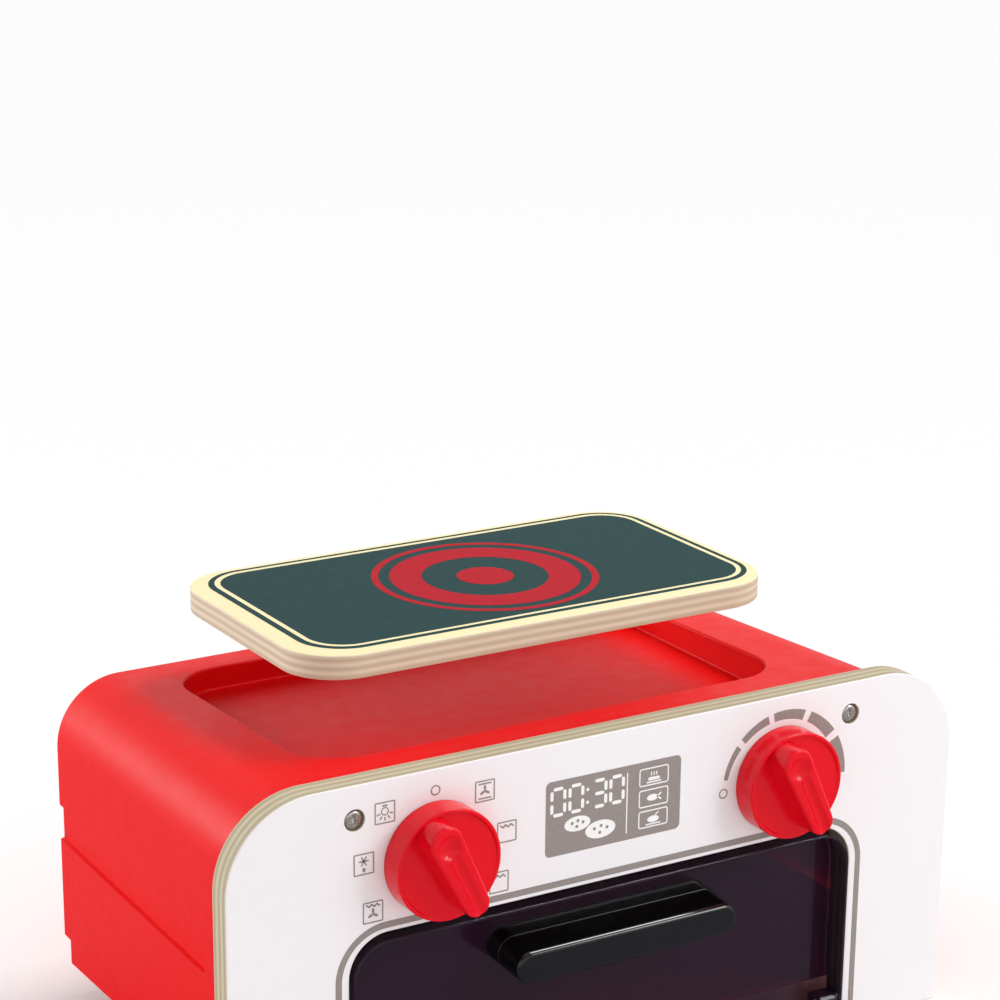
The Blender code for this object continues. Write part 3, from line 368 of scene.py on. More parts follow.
# %% Front panel
LEG_WIDTH = 40.6
PANEL_CORNER = 28.6
OPENING_TOP = 74.0
OPENING_CORNER = 13.5
PANEL_ARRIS = 0.4
OPENING_HALF = PANEL_HALF - LEG_WIDTH
KNOB_X, KNOB_Z = 64.6, 95.25
SPINDLE_HOLE = 5.6
SCREW_X, SCREW_Z = 92.2, 112.3
COUNTERBORE_RADIUS, COUNTERBORE_DEPTH, SHANK_HOLE = 3.5, 2.3, 1.8


def panel_outline(inset):
    """The panel's edge drawn smaller all round: outer arch, then back round the door opening."""
    half, top, corner = PANEL_HALF - inset, PANEL_TOP - inset, PANEL_CORNER - inset
    gap_half, gap_top, gap_corner = OPENING_HALF + inset, OPENING_TOP + inset, OPENING_CORNER + inset
    outer = arch(half, inset, top, corner, 24)[1:]
    opening = arch(gap_half, inset, gap_top, gap_corner, 16)
    return np.vstack([outer, [(-half, inset)], [(-gap_half, inset)], opening[2:][::-1], [(gap_half, inset)]])


def hole(x, z, stations):
    """A round hole as a tube: (depth, radius) stations about one centre."""
    return skin([upright(circle(radius, (x, z)), depth) for depth, radius in stations], (False, False))


arris = rounding(PANEL_ARRIS)[::-1]
stations = [(PANEL_ARRIS - advance, inset) for advance, inset in arris]
stations += [(PANEL_THICK - depth, inset) for depth, inset in stations[::-1]]
parts = [skin([upright(panel_outline(inset), depth) for depth, inset in stations], (False, False))]
for side in (-1, 1):
    parts.append(hole(side * KNOB_X, KNOB_Z, [(0, SPINDLE_HOLE), (PANEL_THICK, SPINDLE_HOLE)]))
    parts.append(hole(side * SCREW_X, SCREW_Z, [
        (0, COUNTERBORE_RADIUS + 0.2), (0.15, COUNTERBORE_RADIUS), (COUNTERBORE_DEPTH, COUNTERBORE_RADIUS),
        (COUNTERBORE_DEPTH, SHANK_HOLE), (PANEL_THICK, SHANK_HOLE)]))
piece("panel_sheet", parts, panel_ply, stands_for=["front_panel"], flats=1)

# %% [markdown]
# The casing is the largest moulding: an arch that narrows towards a closed back, so that it slips
# off its mould, with a recess on top for the hob board and a long band pressed into each side. Its
# outside is one grid of profile rows by depth columns. The rows are close together where the band
# starts and stops, because there the wall steps in by little more than a millimetre.

# %% Casing: outside and inside skins
casing_low, casing_high = node_box("casing")
CASING_HALF, CASING_BACK, CASING_TOP = casing_high
CASING_FRONT = casing_low[1]
CASING_BOTTOM = 24.0
CASING_CORNER = 22.8
CASING_WALL = 2.2
BACK_EDGE = 2.0
SIDE_DRAFT, TOP_DRAFT = 0.0348, 0.0326
BAND_LEDGE, BAND_TOP, BAND_FRONT = 59.0, 71.0, 30.6
BAND_PRESS, BAND_END_RADIUS = 1.3, 5.0
LEDGE_BLEND, CREASE_BLEND = 0.35, 1.7
RECESS_HALF_X, RECESS_HALF_Y, RECESS_MIDDLE = 89.3, 53.0, 84.5
RECESS_CORNER, RECESS_FLOOR, RECESS_DRAFT = 18.0, 107.5, 0.5
RECESS_RIM, RECESS_FILLET = 0.9, 0.8
WINDOW_X, WINDOW_FRONT, WINDOW_BACK = 93.0, 27.8, 141.2
LEDGE_ROWS, CREASE_ROWS, BAND_COLUMN = (57.5, 60.5), (64.0, 74.0), 38.0


def smooth_step(low, high, value):
    """0 below low, 1 above high, and 3t^2 - 2t^3 between them."""
    share = np.clip((value - low) / (high - low), 0, 1)
    return share * share * (3 - 2 * share)


def band_press(depth, height):
    """How far the side band steps in: sharp at its ledge, soft along its top and its front end."""
    reach = BAND_FRONT + BAND_END_RADIUS - depth
    rise = height - (BAND_TOP - BAND_END_RADIUS)
    outside = np.hypot(np.maximum(reach, 0), np.maximum(rise, 0)) - BAND_END_RADIUS
    outside = np.maximum(outside, np.maximum(reach, rise) - BAND_END_RADIUS)
    soft = smooth_step(-CREASE_BLEND / 2, CREASE_BLEND / 2, -outside)
    return BAND_PRESS * soft * smooth_step(-LEDGE_BLEND / 2, LEDGE_BLEND / 2, height - BAND_LEDGE)


def casing_columns(wall):
    """Depths of the grid's columns and the extra inset of each, which rounds the back edge."""
    turn = rounding(BACK_EDGE, 5)
    turn_start = CASING_BACK - BACK_EDGE
    runs = [np.linspace(CASING_FRONT, WINDOW_FRONT, 6)[:-1], np.linspace(WINDOW_FRONT, BAND_COLUMN, 27)[:-1],
            np.linspace(BAND_COLUMN, WINDOW_BACK, 30)[:-1], np.linspace(WINDOW_BACK, turn_start, 4)[:-1],
            turn_start + turn[:, 0]]
    depth = np.concatenate(runs)
    extra = np.concatenate([np.zeros(len(depth) - len(turn)), turn[:, 1]])
    if wall:
        share = (CASING_BACK - wall - WINDOW_BACK) / (CASING_BACK - WINDOW_BACK)
        depth = np.where(depth > WINDOW_BACK, WINDOW_BACK + (depth - WINDOW_BACK) * share, depth)
        extra = np.zeros_like(depth)
    return depth, extra + wall


def casing_grid(wall):
    """Rows up the right wall, round the corner, across the top and down again, by depth columns."""
    depth, inset = casing_columns(wall)
    half = CASING_HALF - SIDE_DRAFT * (depth - CASING_FRONT) - inset
    top = CASING_TOP - TOP_DRAFT * (depth - CASING_FRONT) - inset
    corner = CASING_CORNER - inset
    fixed = np.concatenate([
        np.linspace(CASING_BOTTOM, LEDGE_ROWS[0], 8)[:-1], np.linspace(*LEDGE_ROWS, 19)[:-1],
        np.linspace(LEDGE_ROWS[1], CREASE_ROWS[0], 6)[:-1], np.linspace(*CREASE_ROWS, 34)])
    rise = np.linspace(0, 1, 7)[1:, None]
    height = np.vstack([np.repeat(fixed[:, None], len(depth), 1),
                        fixed[-1] + rise * (top - corner - fixed[-1])])
    wall_x = half - band_press(depth, height)
    angle = np.radians(np.linspace(0, 90, 25))[1:, None]
    corner_x = half - corner + corner * np.cos(angle)
    corner_z = top - corner + corner * np.sin(angle)
    shoulder = np.linspace(1, 0, 5)[1:, None]
    top_x = WINDOW_X + shoulder * (half - corner - WINDOW_X)
    x = np.vstack([wall_x, corner_x, top_x])
    z = np.vstack([height, corner_z, np.broadcast_to(top, top_x.shape)])
    across = np.linspace(WINDOW_X, -WINDOW_X, 49)[1:-1, None]
    x = np.vstack([x, np.broadcast_to(across, (len(across), len(depth))), -x[::-1]])
    z = np.vstack([z, np.broadcast_to(top, (len(across), len(depth))), z[::-1]])
    first = len(wall_x) + len(corner_x) + len(top_x) - 1
    return np.stack([x, np.broadcast_to(depth, x.shape), z], -1), (first, first + len(across) + 1)


def recess_patch(grid, rows, columns, stations, drop):
    """Rings from the window in the top down into the recess: each is centre plus radius along a ray."""
    (first, last), (front, back) = rows, columns
    window = np.vstack([grid[first:last, front], grid[last, front:back], grid[last:first:-1, back],
                        grid[first, back:front:-1]])
    straight = np.array([RECESS_HALF_X - RECESS_CORNER, RECESS_HALF_Y - RECESS_CORNER])
    middle = np.array([0, RECESS_MIDDLE])
    centre = np.clip(window[:, :2] - middle, -straight, straight) + middle
    ray = window[:, :2] - centre
    ray /= np.linalg.norm(ray, axis=1, keepdims=True)
    rings = [window]
    for grow, share, lift in stations:
        plan = centre + (RECESS_CORNER + grow) * ray
        level = window[:, 2] * (1 - share) + (RECESS_FLOOR - drop) * share + lift
        rings.append(np.column_stack([plan, level]))
    return skin(rings, (False, True))


def casing_side(wall):
    """One side of the shell: the grid with its window cut out, the recess in it, and the back."""
    grid, rows = casing_grid(wall)
    depth = grid[0, :, 1]
    front = int(np.abs(depth - WINDOW_FRONT).argmin())
    back = int(np.abs(depth - WINDOW_BACK).argmin())
    quads = grid_quads(*grid.shape[:2], columns_closed=False)
    row, column = np.divmod(quads[:, 0], grid.shape[1])
    open_window = (row >= rows[0]) & (row < rows[1]) & (column >= front) & (column < back)
    faces = quads[~open_window].tolist()
    faces.append([index * grid.shape[1] + grid.shape[1] - 1 for index in range(grid.shape[0])])
    if wall:
        stations = [(wall, 0, 0), (wall - RECESS_DRAFT, 1, 0)]
    else:
        stations = [(inset, 0, advance - RECESS_RIM) for advance, inset in rounding(RECESS_RIM, 5)[::-1]]
        stations += [(-RECESS_DRAFT - inset, 1, RECESS_FILLET - advance)
                     for advance, inset in rounding(RECESS_FILLET, 6)]
    return grid, [(grid.reshape(-1, 3), faces), recess_patch(grid, rows, (front, back), stations, wall)]


def strip(first, second):
    """Quads between two rows of points of equal length."""
    points = np.stack([first, second])
    return points.reshape(-1, 3), grid_quads(2, len(first), columns_closed=False).tolist()


outside, parts = casing_side(0)
inside, inner_parts = casing_side(CASING_WALL)
parts += inner_parts
parts.append(strip(outside[:, 0], inside[:, 0]))
parts.append(strip(outside[0], inside[0]))
parts.append(strip(outside[-1], inside[-1]))
parts.append(strip(outside[[0, -1], -1], inside[[0, -1], -1]))

# %% [markdown]
# Inside, the shell has six hollow posts that take the screws from the base and from the panel.
# The four that take the base screws are each tied to the wall by a thin web.

# %% Casing: screw posts
POST_RADIUS, POST_BORE, POST_FOOT, POST_TOP = 4.5, 1.8, 17.6, 40.0
POST_X, POST_DEPTHS = 115.2, (21.8, 138.85)
PANEL_POST_RADIUS, PANEL_POST_LENGTH, WEB = 5.0, 18.7, 2.2


def tube(outer, inner, low, high, place):
    """A hollow post: outer and inner circles at both ends, joined into a hoop of rings."""
    return skin([place(circle(outer), low), place(circle(outer), high), place(circle(inner), high),
                 place(circle(inner), low)], hoop=True)


def block(low, high):
    """A plate between two corners."""
    plan = [(low[0], low[1]), (high[0], low[1]), (high[0], high[1]), (low[0], high[1])]
    return skin([lying(plan, low[2]), lying(plan, high[2])])


for side in (-1, 1):
    for depth in POST_DEPTHS:
        centre = np.array([side * POST_X, depth])
        parts.append(tube(POST_RADIUS, POST_BORE, POST_FOOT, POST_TOP,
                          lambda ring, level: lying(ring + centre, level)))
        wall_x = side * (CASING_HALF - SIDE_DRAFT * (depth - CASING_FRONT) - CASING_WALL / 2)
        near, far = sorted((side * (POST_X + POST_RADIUS - 0.5), wall_x))
        parts.append(block((near, depth - WEB / 2, 25.0), (far, depth + WEB / 2, POST_TOP - 0.3)))
    centre = np.array([side * SCREW_X, SCREW_Z])
    parts.append(tube(PANEL_POST_RADIUS, POST_BORE, CASING_FRONT, CASING_FRONT + PANEL_POST_LENGTH,
                      lambda ring, level: upright(ring + centre, level)))
piece("casing_shell", parts, casing_red, stands_for=["casing"])

# %% [markdown]
# The hob board is 8 mm birch ply with rounded edges. Its plies lie flat, so the bands on its edge
# run round it at constant height. The top is sanded and sealed in a warm cream, with a fine grain
# that runs along the board's length.

# %% Hob board
board_low, board_high = node_box("hob_board")
BOARD_MIDDLE = (board_low + board_high)[:2] / 2
BOARD_HALF = (board_high - board_low)[:2] / 2
BOARD_CORNER, BOARD_EDGE = 19.0, 0.6
INK = 0.05
BOARD_TOP = board_high[2] - 2 * INK
BOARD_PLY = 1.35


def board_birch():
    """Cream face with long grain above one height, banded plies below it."""
    made, tree, shader, place = finish("sealed_birch_board", "FBEEBB", 0.55, IOR=1.5)
    plies, fibres = ply_edges(tree, place, "Z", BOARD_PLY, "BCA588", "E6D9C2")
    grain_place = add(tree, "ShaderNodeMapping", {"Vector": place, "Scale": (0.05 / MM, 1.3 / MM, 1.3 / MM)})
    grain = add(tree, "ShaderNodeTexNoise", {"Vector": grain_place.outputs["Vector"], "Scale": 1.5,
                "Detail": 5.0, "Roughness": 0.6})
    face = add(tree, "ShaderNodeMix", {0: grain.outputs["Fac"], MIX_A: linear("EDD9A2"),
               MIX_B: linear("F8EEC4")}, data_type="RGBA")
    parts = add(tree, "ShaderNodeSeparateXYZ", {"Vector": place})
    top = add(tree, "ShaderNodeMapRange", {"Value": parts.outputs["Z"],
              "From Min": (BOARD_TOP - 0.3) * MM, "From Max": (BOARD_TOP - 0.12) * MM})
    colour = add(tree, "ShaderNodeMix", {0: top.outputs["Result"], MIX_A: plies,
                 MIX_B: face.outputs[MIX_COLOUR]}, data_type="RGBA")
    height = add(tree, "ShaderNodeMix", {0: top.outputs["Result"], 2: fibres, 3: grain.outputs["Fac"]})
    bump = add(tree, "ShaderNodeBump", {"Height": height.outputs[0], "Distance": 0.02 * MM})
    feed(tree, shader, Base_Color=colour.outputs[MIX_COLOUR], Normal=bump.outputs["Normal"])
    return made


birch = board_birch()
edge_turn = rounding(BOARD_EDGE, 5)
levels = [(board_low[2] + BOARD_EDGE - advance, inset) for advance, inset in edge_turn[::-1]]
levels += [(BOARD_TOP - BOARD_EDGE + advance, inset) for advance, inset in edge_turn]
rings = [lying(rounded_rectangle(*(BOARD_HALF - inset), BOARD_CORNER - inset, BOARD_MIDDLE, 20), level)
         for level, inset in levels]
piece("board_sheet", [skin(rings)], birch, "hob_board", ["hob_board"])

# %% [markdown]
# The prints are screen-printed ink, a few hundredths of a millimetre thick. Each is a thin slab of
# its own, so its edge stays crisp however close the eye comes. Ink is matt, and the tooth of the
# wood shows through it as a fine mottle.

# %% Printing ink and flat marks
def printed_ink(name, colour, faded, grain_mm=1.8, roughness=0.5):
    """Screen ink: two close shades mixed by a fine mottle, with the same mottle as a faint bump."""
    made, tree, shader, place = finish(name, colour, roughness, IOR=1.48, Specular_IOR_Level=0.04)
    mottle = add(tree, "ShaderNodeTexNoise", {"Vector": place, "Scale": 1 / (grain_mm * MM),
                 "Detail": 6.0, "Roughness": 0.65})
    shade = add(tree, "ShaderNodeMapRange", {"Value": mottle.outputs["Fac"], "From Min": 0.35,
                "From Max": 0.65})
    tint = add(tree, "ShaderNodeMix", {0: shade.outputs["Result"], MIX_A: linear(colour),
               MIX_B: linear(faded)}, data_type="RGBA")
    bump = add(tree, "ShaderNodeBump", {"Height": mottle.outputs["Fac"], "Distance": 0.01 * MM})
    feed(tree, shader, Base_Color=tint.outputs[MIX_COLOUR], Normal=bump.outputs["Normal"])
    return made


def slab(outline, low, high, place):
    """A flat mark: its outline at two levels, with both caps."""
    return skin([place(outline, low), place(outline, high)])


def band(outer, inner, low, high, place):
    """A flat mark between two outlines with equal counts, as a hoop of four rings."""
    return skin([place(outer, low), place(outer, high), place(inner, high), place(inner, low)], hoop=True)


slate_ink = printed_ink("slate_screen_ink", "24403F", "2A4546")
red_ink = printed_ink("red_screen_ink", "AC1826", "B41D2B")
grey_ink = printed_ink("grey_screen_ink", "928884", "9C9390", grain_mm=0.9)
white_ink = printed_ink("white_screen_ink", "FAF7F7", "F2EFEF", grain_mm=0.9)
print("made", ", ".join(ink.name for ink in (slate_ink, red_ink, grey_ink, white_ink)))

# %% [markdown]
# On the board a slate field with a slate line round it leaves a cream line between them. Three red
# marks, a thin ring, a broad ring and a disc, make the hotplate. As on many real toys, the print
# isn't quite in the middle of the board.

# %% Hotplate print
FIELD = ((2.48, 86.25), (80.1, 41.75), 12.5)
LINE_INNER = ((2.43, 86.4), (81.85, 43.5), 14.0)
LINE_OUTER = ((2.1, 86.0), (83.85, 45.3), 16.0)
RINGS_MIDDLE = np.array([3.54, 85.19])
RING_PAIRS = ((37.87, 35.5), (31.85, 21.14))
DISC_RADIUS = 9.51


def frame_line(middle, half, corner):
    """A rounded rectangle from its middle, half sizes and corner."""
    return rounded_rectangle(*half, corner, middle, 16)


low, slate_top, red_top = BOARD_TOP - INK, BOARD_TOP + INK, BOARD_TOP + 2 * INK
piece("slate_print", [slab(frame_line(*FIELD), low, slate_top, lying),
                      band(frame_line(*LINE_OUTER), frame_line(*LINE_INNER), low, slate_top, lying)],
      slate_ink, "hob_board")
marks = [band(circle(outer, RINGS_MIDDLE, 128), circle(inner, RINGS_MIDDLE, 128), low, red_top, lying)
         for outer, inner in RING_PAIRS]
marks.append(slab(circle(DISC_RADIUS, RINGS_MIDDLE, 96), low, red_top, lying))
piece("hotplate_print", marks, red_ink, "hob_board")

# %% [markdown]
# The door is one thin moulding in smoke-tinted styrene: a face plate with a rim that stands forward
# of the panel. The smoke lets some light through, so the red inside glows faintly in it. Its section
# is a profile carried round the arch: up the rim, over its rounded edge, and down to the plate. Both
# the door and its black handle are polished, so the lamps draw thin bright lines along their edges.

# %% Smoked door
door_low, door_high = node_box("door")
DOOR_HALF, DOOR_BACK, DOOR_TOP = door_high
DOOR_FRONT, DOOR_LIFT = door_low[1:]
DOOR_CORNER, DOOR_RIM, DOOR_PLATE, DOOR_FILLET = 12.0, 1.2, 2.0, 0.8
PLATE_FRONT = DOOR_BACK - DOOR_PLATE
HINGE_DEPTH, HINGE_Z = 3.2, 8.5
EAR_RADIUS, EAR_LENGTH, PIN_HOLE = 4.2, 8.0, 1.7

smoke = moulded("smoke_tinted_styrene", "2A162A", "241226", 0.06, 30.0, 0.004, IOR=1.57, Alpha=0.6)
black_gloss = moulded("black_gloss_abs", "070608", "0A090B", 0.07, 6.0, 0.003)


def carried(outline, profile):
    """A closed surface: the outline drawn at each (depth, inset) of the profile, capped at both ends."""
    return skin([upright(outline(inset), depth) for depth, inset in profile])


def door_outline(inset):
    """The door's arch, drawn smaller all round."""
    return arch(DOOR_HALF - inset, DOOR_LIFT + inset, DOOR_TOP - inset, DOOR_CORNER - inset, 20)


edge = DOOR_RIM / 3
turn = rounding(edge)
profile = [(DOOR_BACK - edge + advance, inset) for advance, inset in turn[::-1]]
profile += [(DOOR_FRONT + edge - advance, inset) for advance, inset in turn]
profile += [(DOOR_FRONT + edge - advance, DOOR_RIM - inset) for advance, inset in turn[::-1]]
profile += [(PLATE_FRONT - DOOR_FILLET + advance, DOOR_RIM + inset)
            for advance, inset in rounding(DOOR_FILLET)]
parts = [carried(door_outline, profile)]
for side in (-1, 1):
    reach = [side * (DOOR_HALF - DOOR_RIM / 2), side * (DOOR_HALF - EAR_LENGTH)]
    rims = [(EAR_RADIUS, reach[0]), (EAR_RADIUS, reach[1]), (PIN_HOLE, reach[1]), (PIN_HOLE, reach[0])]
    parts.append(skin([np.insert(circle(radius, (HINGE_DEPTH, HINGE_Z)), 0, x, axis=1)
                       for radius, x in rims], hoop=True))
piece("door_tray", parts, smoke, "door", ["door"])

# %% [markdown]
# The handle is a bar with round ends that narrows and droops a little towards the hand. It is black,
# and comes in two pieces with a fine seam: a root that stands on the door, and a cap plugged on it.

# %% Handle
HANDLE_LENGTH, HANDLE_HEIGHT, HANDLE_Z = 41.6, 5.8, 56.8
HANDLE_TAPER, HANDLE_THINNING, HANDLE_DROOP = 0.3, 0.5, 1.5
HANDLE_SEAM, HANDLE_EDGE, SEAM_EDGE = 1.0, 1.5, 0.25
CAP_FRONT, CAP_BACK = node_box("handle_cap")[0][1], HANDLE_SEAM - 0.3


def handle_ring(depth, inset):
    """The handle's stadium at a depth: sizes fall in a straight line from the door to the cap's face."""
    share = (PLATE_FRONT - depth) / (PLATE_FRONT - CAP_FRONT)
    ring = stadium(HANDLE_LENGTH - HANDLE_TAPER * share - inset,
                   HANDLE_HEIGHT - HANDLE_THINNING * share - inset, (0, HANDLE_Z - HANDLE_DROOP * share), 24)
    return upright(ring, depth)


soft_front = [(CAP_FRONT + HANDLE_EDGE - advance, inset) for advance, inset in rounding(HANDLE_EDGE, 8)]
seam_cap = [(CAP_BACK - SEAM_EDGE + advance, inset) for advance, inset in rounding(SEAM_EDGE)[::-1]]
cap = skin([handle_ring(*station) for station in seam_cap + soft_front])
piece("handle_grip", [cap], black_gloss, "door", ["handle_cap"])
seam_root = [(HANDLE_SEAM + SEAM_EDGE - advance, inset) for advance, inset in rounding(SEAM_EDGE)[::-1]]
root = [handle_ring(*station) for station in seam_root + [(PLATE_FRONT + DOOR_PLATE / 2, 0)]]
piece("handle_root", [skin(root)], black_gloss, "door")

# %% [markdown]
# A knob is a disc with a scooped front and a grip bar across it. The scoop is deepest at the grip's
# round head and runs out towards its tip. The grip carries a finger dimple in its head, and a groove
# from a small dimple to the tip that serves as the pointer.

# %% Knobs
KNOB_RADIUS, KNOB_BACK, KNOB_FACE, KNOB_REACH = 17.96, -0.3, -8.8, -16.4
KNOB_EDGE, KNOB_RIM, SCOOP_DEEP, SCOOP_SHALLOW = 0.5, 1.2, 1.6, 0.02
HEAD_RADIUS, HEAD_REACH, TIP_RADIUS, TIP_REACH = 5.45, 17.1, 4.35, 16.6
GRIP_EDGE, GRIP_FLARE = 0.9, 0.35
DIMPLE_Z, DIMPLE_RADIUS, DIMPLE_DEPTH = 10.3, 4.1, 1.6
GROOVE_TOP, GROOVE_HALF, GROOVE_DEPTH = 4.4, 2.1, 1.1
KNOB_TURN = 26.0
HEAD_Z, TIP_Z = HEAD_REACH - HEAD_RADIUS, TIP_RADIUS - TIP_REACH


def bowl(distance, radius, depth):
    """Depth of a hollow with a round section: a ball or pipe cut by a flat, zero outside its radius."""
    ball = (radius ** 2 + depth ** 2) / (2 * depth)
    return np.maximum(np.sqrt(np.maximum(ball ** 2 - distance ** 2, 0)) - (ball - depth), 0)


def knob_disc():
    """Circles at (radius, depth) stations; inside the rim the depth falls along the grip's length."""
    inner = KNOB_RADIUS - KNOB_RIM
    turn = rounding(KNOB_EDGE)
    stations = [(KNOB_RADIUS, KNOB_BACK, 0)]
    stations += [(KNOB_RADIUS - inset, KNOB_FACE + KNOB_EDGE - advance, 0) for advance, inset in turn]
    stations += [(inner + 0.2, KNOB_FACE, 0), (inner + 0.05, KNOB_FACE, 0.1), (inner - 0.3, KNOB_FACE, 0.9),
                 (inner - 0.6, KNOB_FACE, 1), (inner - 5, KNOB_FACE, 1), (5, KNOB_FACE, 1)]
    rings = []
    for radius, depth, share in stations:
        ring = circle(radius, steps=128)
        scoop = SCOOP_SHALLOW + (SCOOP_DEEP - SCOOP_SHALLOW) * (ring[:, 1] / inner + 1) / 2
        rings.append(np.column_stack([ring[:, 0], depth + share * scoop, ring[:, 1]]))
    return skin(rings)


def grip_outline(inset):
    """Round head and round tip joined by straight flanks, and the spine point that each point faces."""
    head, tip = HEAD_RADIUS - inset, TIP_RADIUS - inset
    lean = math.degrees(math.asin((HEAD_RADIUS - TIP_RADIUS) / (HEAD_Z - TIP_Z)))
    upper = arc((0, HEAD_Z), head, -lean, 180 + lean, 32)
    lower = arc((0, TIP_Z), tip, 180 + lean, 360 - lean, 32)
    share = np.linspace(0, 1, 31)[1:-1, None]
    left = upper[-1] + share * (lower[0] - upper[-1])
    right = lower[-1] + share * (upper[0] - lower[-1])
    down = HEAD_Z + share[:, 0] * (TIP_Z - HEAD_Z)
    spine = np.concatenate([np.full(len(upper), HEAD_Z), down, np.full(len(lower), TIP_Z), down[::-1]])
    return np.vstack([upper, left, lower, right]), np.column_stack([np.zeros_like(spine), spine])


def knob_grip():
    """Flanks rise from a flared root; the front is rings that shrink onto the spine and dip in hollows."""
    rings = []
    for depth, inset in ((KNOB_FACE + 2, -GRIP_FLARE), (KNOB_FACE + 0.6, -GRIP_FLARE),
                         (KNOB_FACE - 0.1, -0.12), (KNOB_FACE - 0.9, 0), (KNOB_REACH + 3, 0)):
        rings.append(upright(grip_outline(inset)[0], depth))
    outline, spine = grip_outline(0)
    reach = np.linalg.norm(outline - spine, axis=1)
    insets = np.concatenate([rounding(GRIP_EDGE, 6)[:, 1], np.linspace(GRIP_EDGE, TIP_RADIUS, 16)[1:]])
    for inset in insets:
        share = 1 - inset / TIP_RADIUS
        flat = spine + (outline - spine) * share
        fall = GRIP_EDGE - np.sqrt(max(GRIP_EDGE ** 2 - max(GRIP_EDGE - inset, 0) ** 2, 0))
        x, z = flat.T
        dimple = bowl(np.hypot(x, z - DIMPLE_Z), DIMPLE_RADIUS, DIMPLE_DEPTH)
        groove = bowl(np.hypot(x, np.maximum(z - GROOVE_TOP, 0)), GROOVE_HALF, GROOVE_DEPTH)
        depth = KNOB_REACH + np.maximum(fall, np.maximum(dimple, groove))
        rings.append(np.column_stack([x, depth, z]))
    return skin(rings, (True, False))


def turned_to(part, degrees, place):
    """Turn a part about the axis that points back into the panel, and move it to (x, z)."""
    points, faces = part
    cosine, sine = math.cos(math.radians(degrees)), math.sin(math.radians(degrees))
    x, depth, z = points.T
    return np.column_stack([place[0] + x * cosine - z * sine, depth, place[1] + x * sine + z * cosine]), faces


for side, name in ((-1, "knob_left"), (1, "knob_right")):
    parts = [turned_to(part, KNOB_TURN, (side * KNOB_X, KNOB_Z)) for part in (knob_disc(), knob_grip())]
    piece(name + "_moulding", parts, knob_red, name, [name], crease=40)

# %% [markdown]
# The panel's marks are printed in warm grey on the white lacquer, and in white on the grey ground of
# the display. A mark is an outline with a thickness of 0.06 mm. Strokes with round ends draw the
# digits and pictograms; ribbons between two curves draw the long lines.

# %% Pen strokes and ribbons
PRINT_BACK, PRINT_FRONT, OVERPRINT = 0.02, -0.06, -0.1


def stroke(start, end, width, steps=5):
    """A straight stroke with round ends: two half circles turned to the stroke's direction."""
    start, end = np.array(start, float), np.array(end, float)
    lean = math.degrees(math.atan2(*(end - start)[::-1]))
    return np.vstack([arc(end, width / 2, lean - 90, lean + 90, steps),
                      arc(start, width / 2, lean + 90, lean + 270, steps)])


def oval(middle, half_x, half_z, lean=0.0, steps=32):
    """An ellipse turned by an angle about its middle."""
    ring = circle(1, steps=steps) * (half_x, half_z)
    cosine, sine = math.cos(math.radians(lean)), math.sin(math.radians(lean))
    return np.column_stack([middle[0] + ring[:, 0] * cosine - ring[:, 1] * sine,
                            middle[1] + ring[:, 0] * sine + ring[:, 1] * cosine])


def mark(outline, front=PRINT_FRONT):
    """A filled flat mark on the panel."""
    return slab(outline, PRINT_BACK, front, upright)


def ring_mark(outer, inner, front=PRINT_FRONT):
    """A flat mark between two closed outlines."""
    return band(outer, inner, PRINT_BACK, front, upright)


def ribbon(outer, inner, front=PRINT_FRONT):
    """A flat mark between two open curves: a ring of four corners carried along them."""
    edges = [upright(outer, PRINT_BACK), upright(outer, front), upright(inner, front),
             upright(inner, PRINT_BACK)]
    return skin(np.stack(edges, axis=1))


# %% [markdown]
# Round the door runs one grey line that ends at the bottom edge. Round the right knob stand five
# segments that grow thicker clockwise, a way to show heat that needs no words. A small ring marks
# the place where each knob is off.

# %% Door line and heat scale
LINE_HALF, LINE_TOP, LINE_CORNER, LINE_WIDTH = 99.15, 77.5, 17.5, 2.15
DIAL_MIDDLE = np.array([64.41, 93.83])
DIAL_INNER, DIAL_THIN, DIAL_GROWTH = 21.5, 1.6, 3.3
DIAL_SPANS = ((167.5, 138.2), (132.2, 103.5), (98.3, 68.2), (62.2, 34.0), (27.5, -3.2))
RING_PLACES, RING_OUTER, RING_INNER = ((-64.67, 116.55), (41.86, 94.21)), 1.7, 1.25


def dial_segment(start, stop):
    """An arc whose outer radius grows in step with the angle already passed."""
    angle = np.linspace(start, stop, 25)
    ray = np.column_stack([np.cos(np.radians(angle)), np.sin(np.radians(angle))])
    passed = (DIAL_SPANS[0][0] - angle) / (DIAL_SPANS[0][0] - DIAL_SPANS[-1][1])
    outer = DIAL_INNER + DIAL_THIN + DIAL_GROWTH * passed
    return ribbon(DIAL_MIDDLE + outer[:, None] * ray, DIAL_MIDDLE + DIAL_INNER * ray)


outer_line = arch(LINE_HALF, PANEL_ARRIS, LINE_TOP, LINE_CORNER, 24)
inner_line = arch(LINE_HALF - LINE_WIDTH, PANEL_ARRIS, LINE_TOP - LINE_WIDTH, LINE_CORNER - LINE_WIDTH, 24)
grey_marks = [ribbon(np.roll(outer_line, -1, axis=0), np.roll(inner_line, -1, axis=0))]
grey_marks += [dial_segment(*span) for span in DIAL_SPANS]
for place in RING_PLACES:
    grey_marks.append(ring_mark(circle(RING_OUTER, place), circle(RING_INNER, place)))

# %% [markdown]
# Six small squares round the left knob hold pictograms that any oven might carry: a lamp, a grill's
# zigzag, a fan, a fan between two bars, a grill with a fan, and a snowflake with a drop.

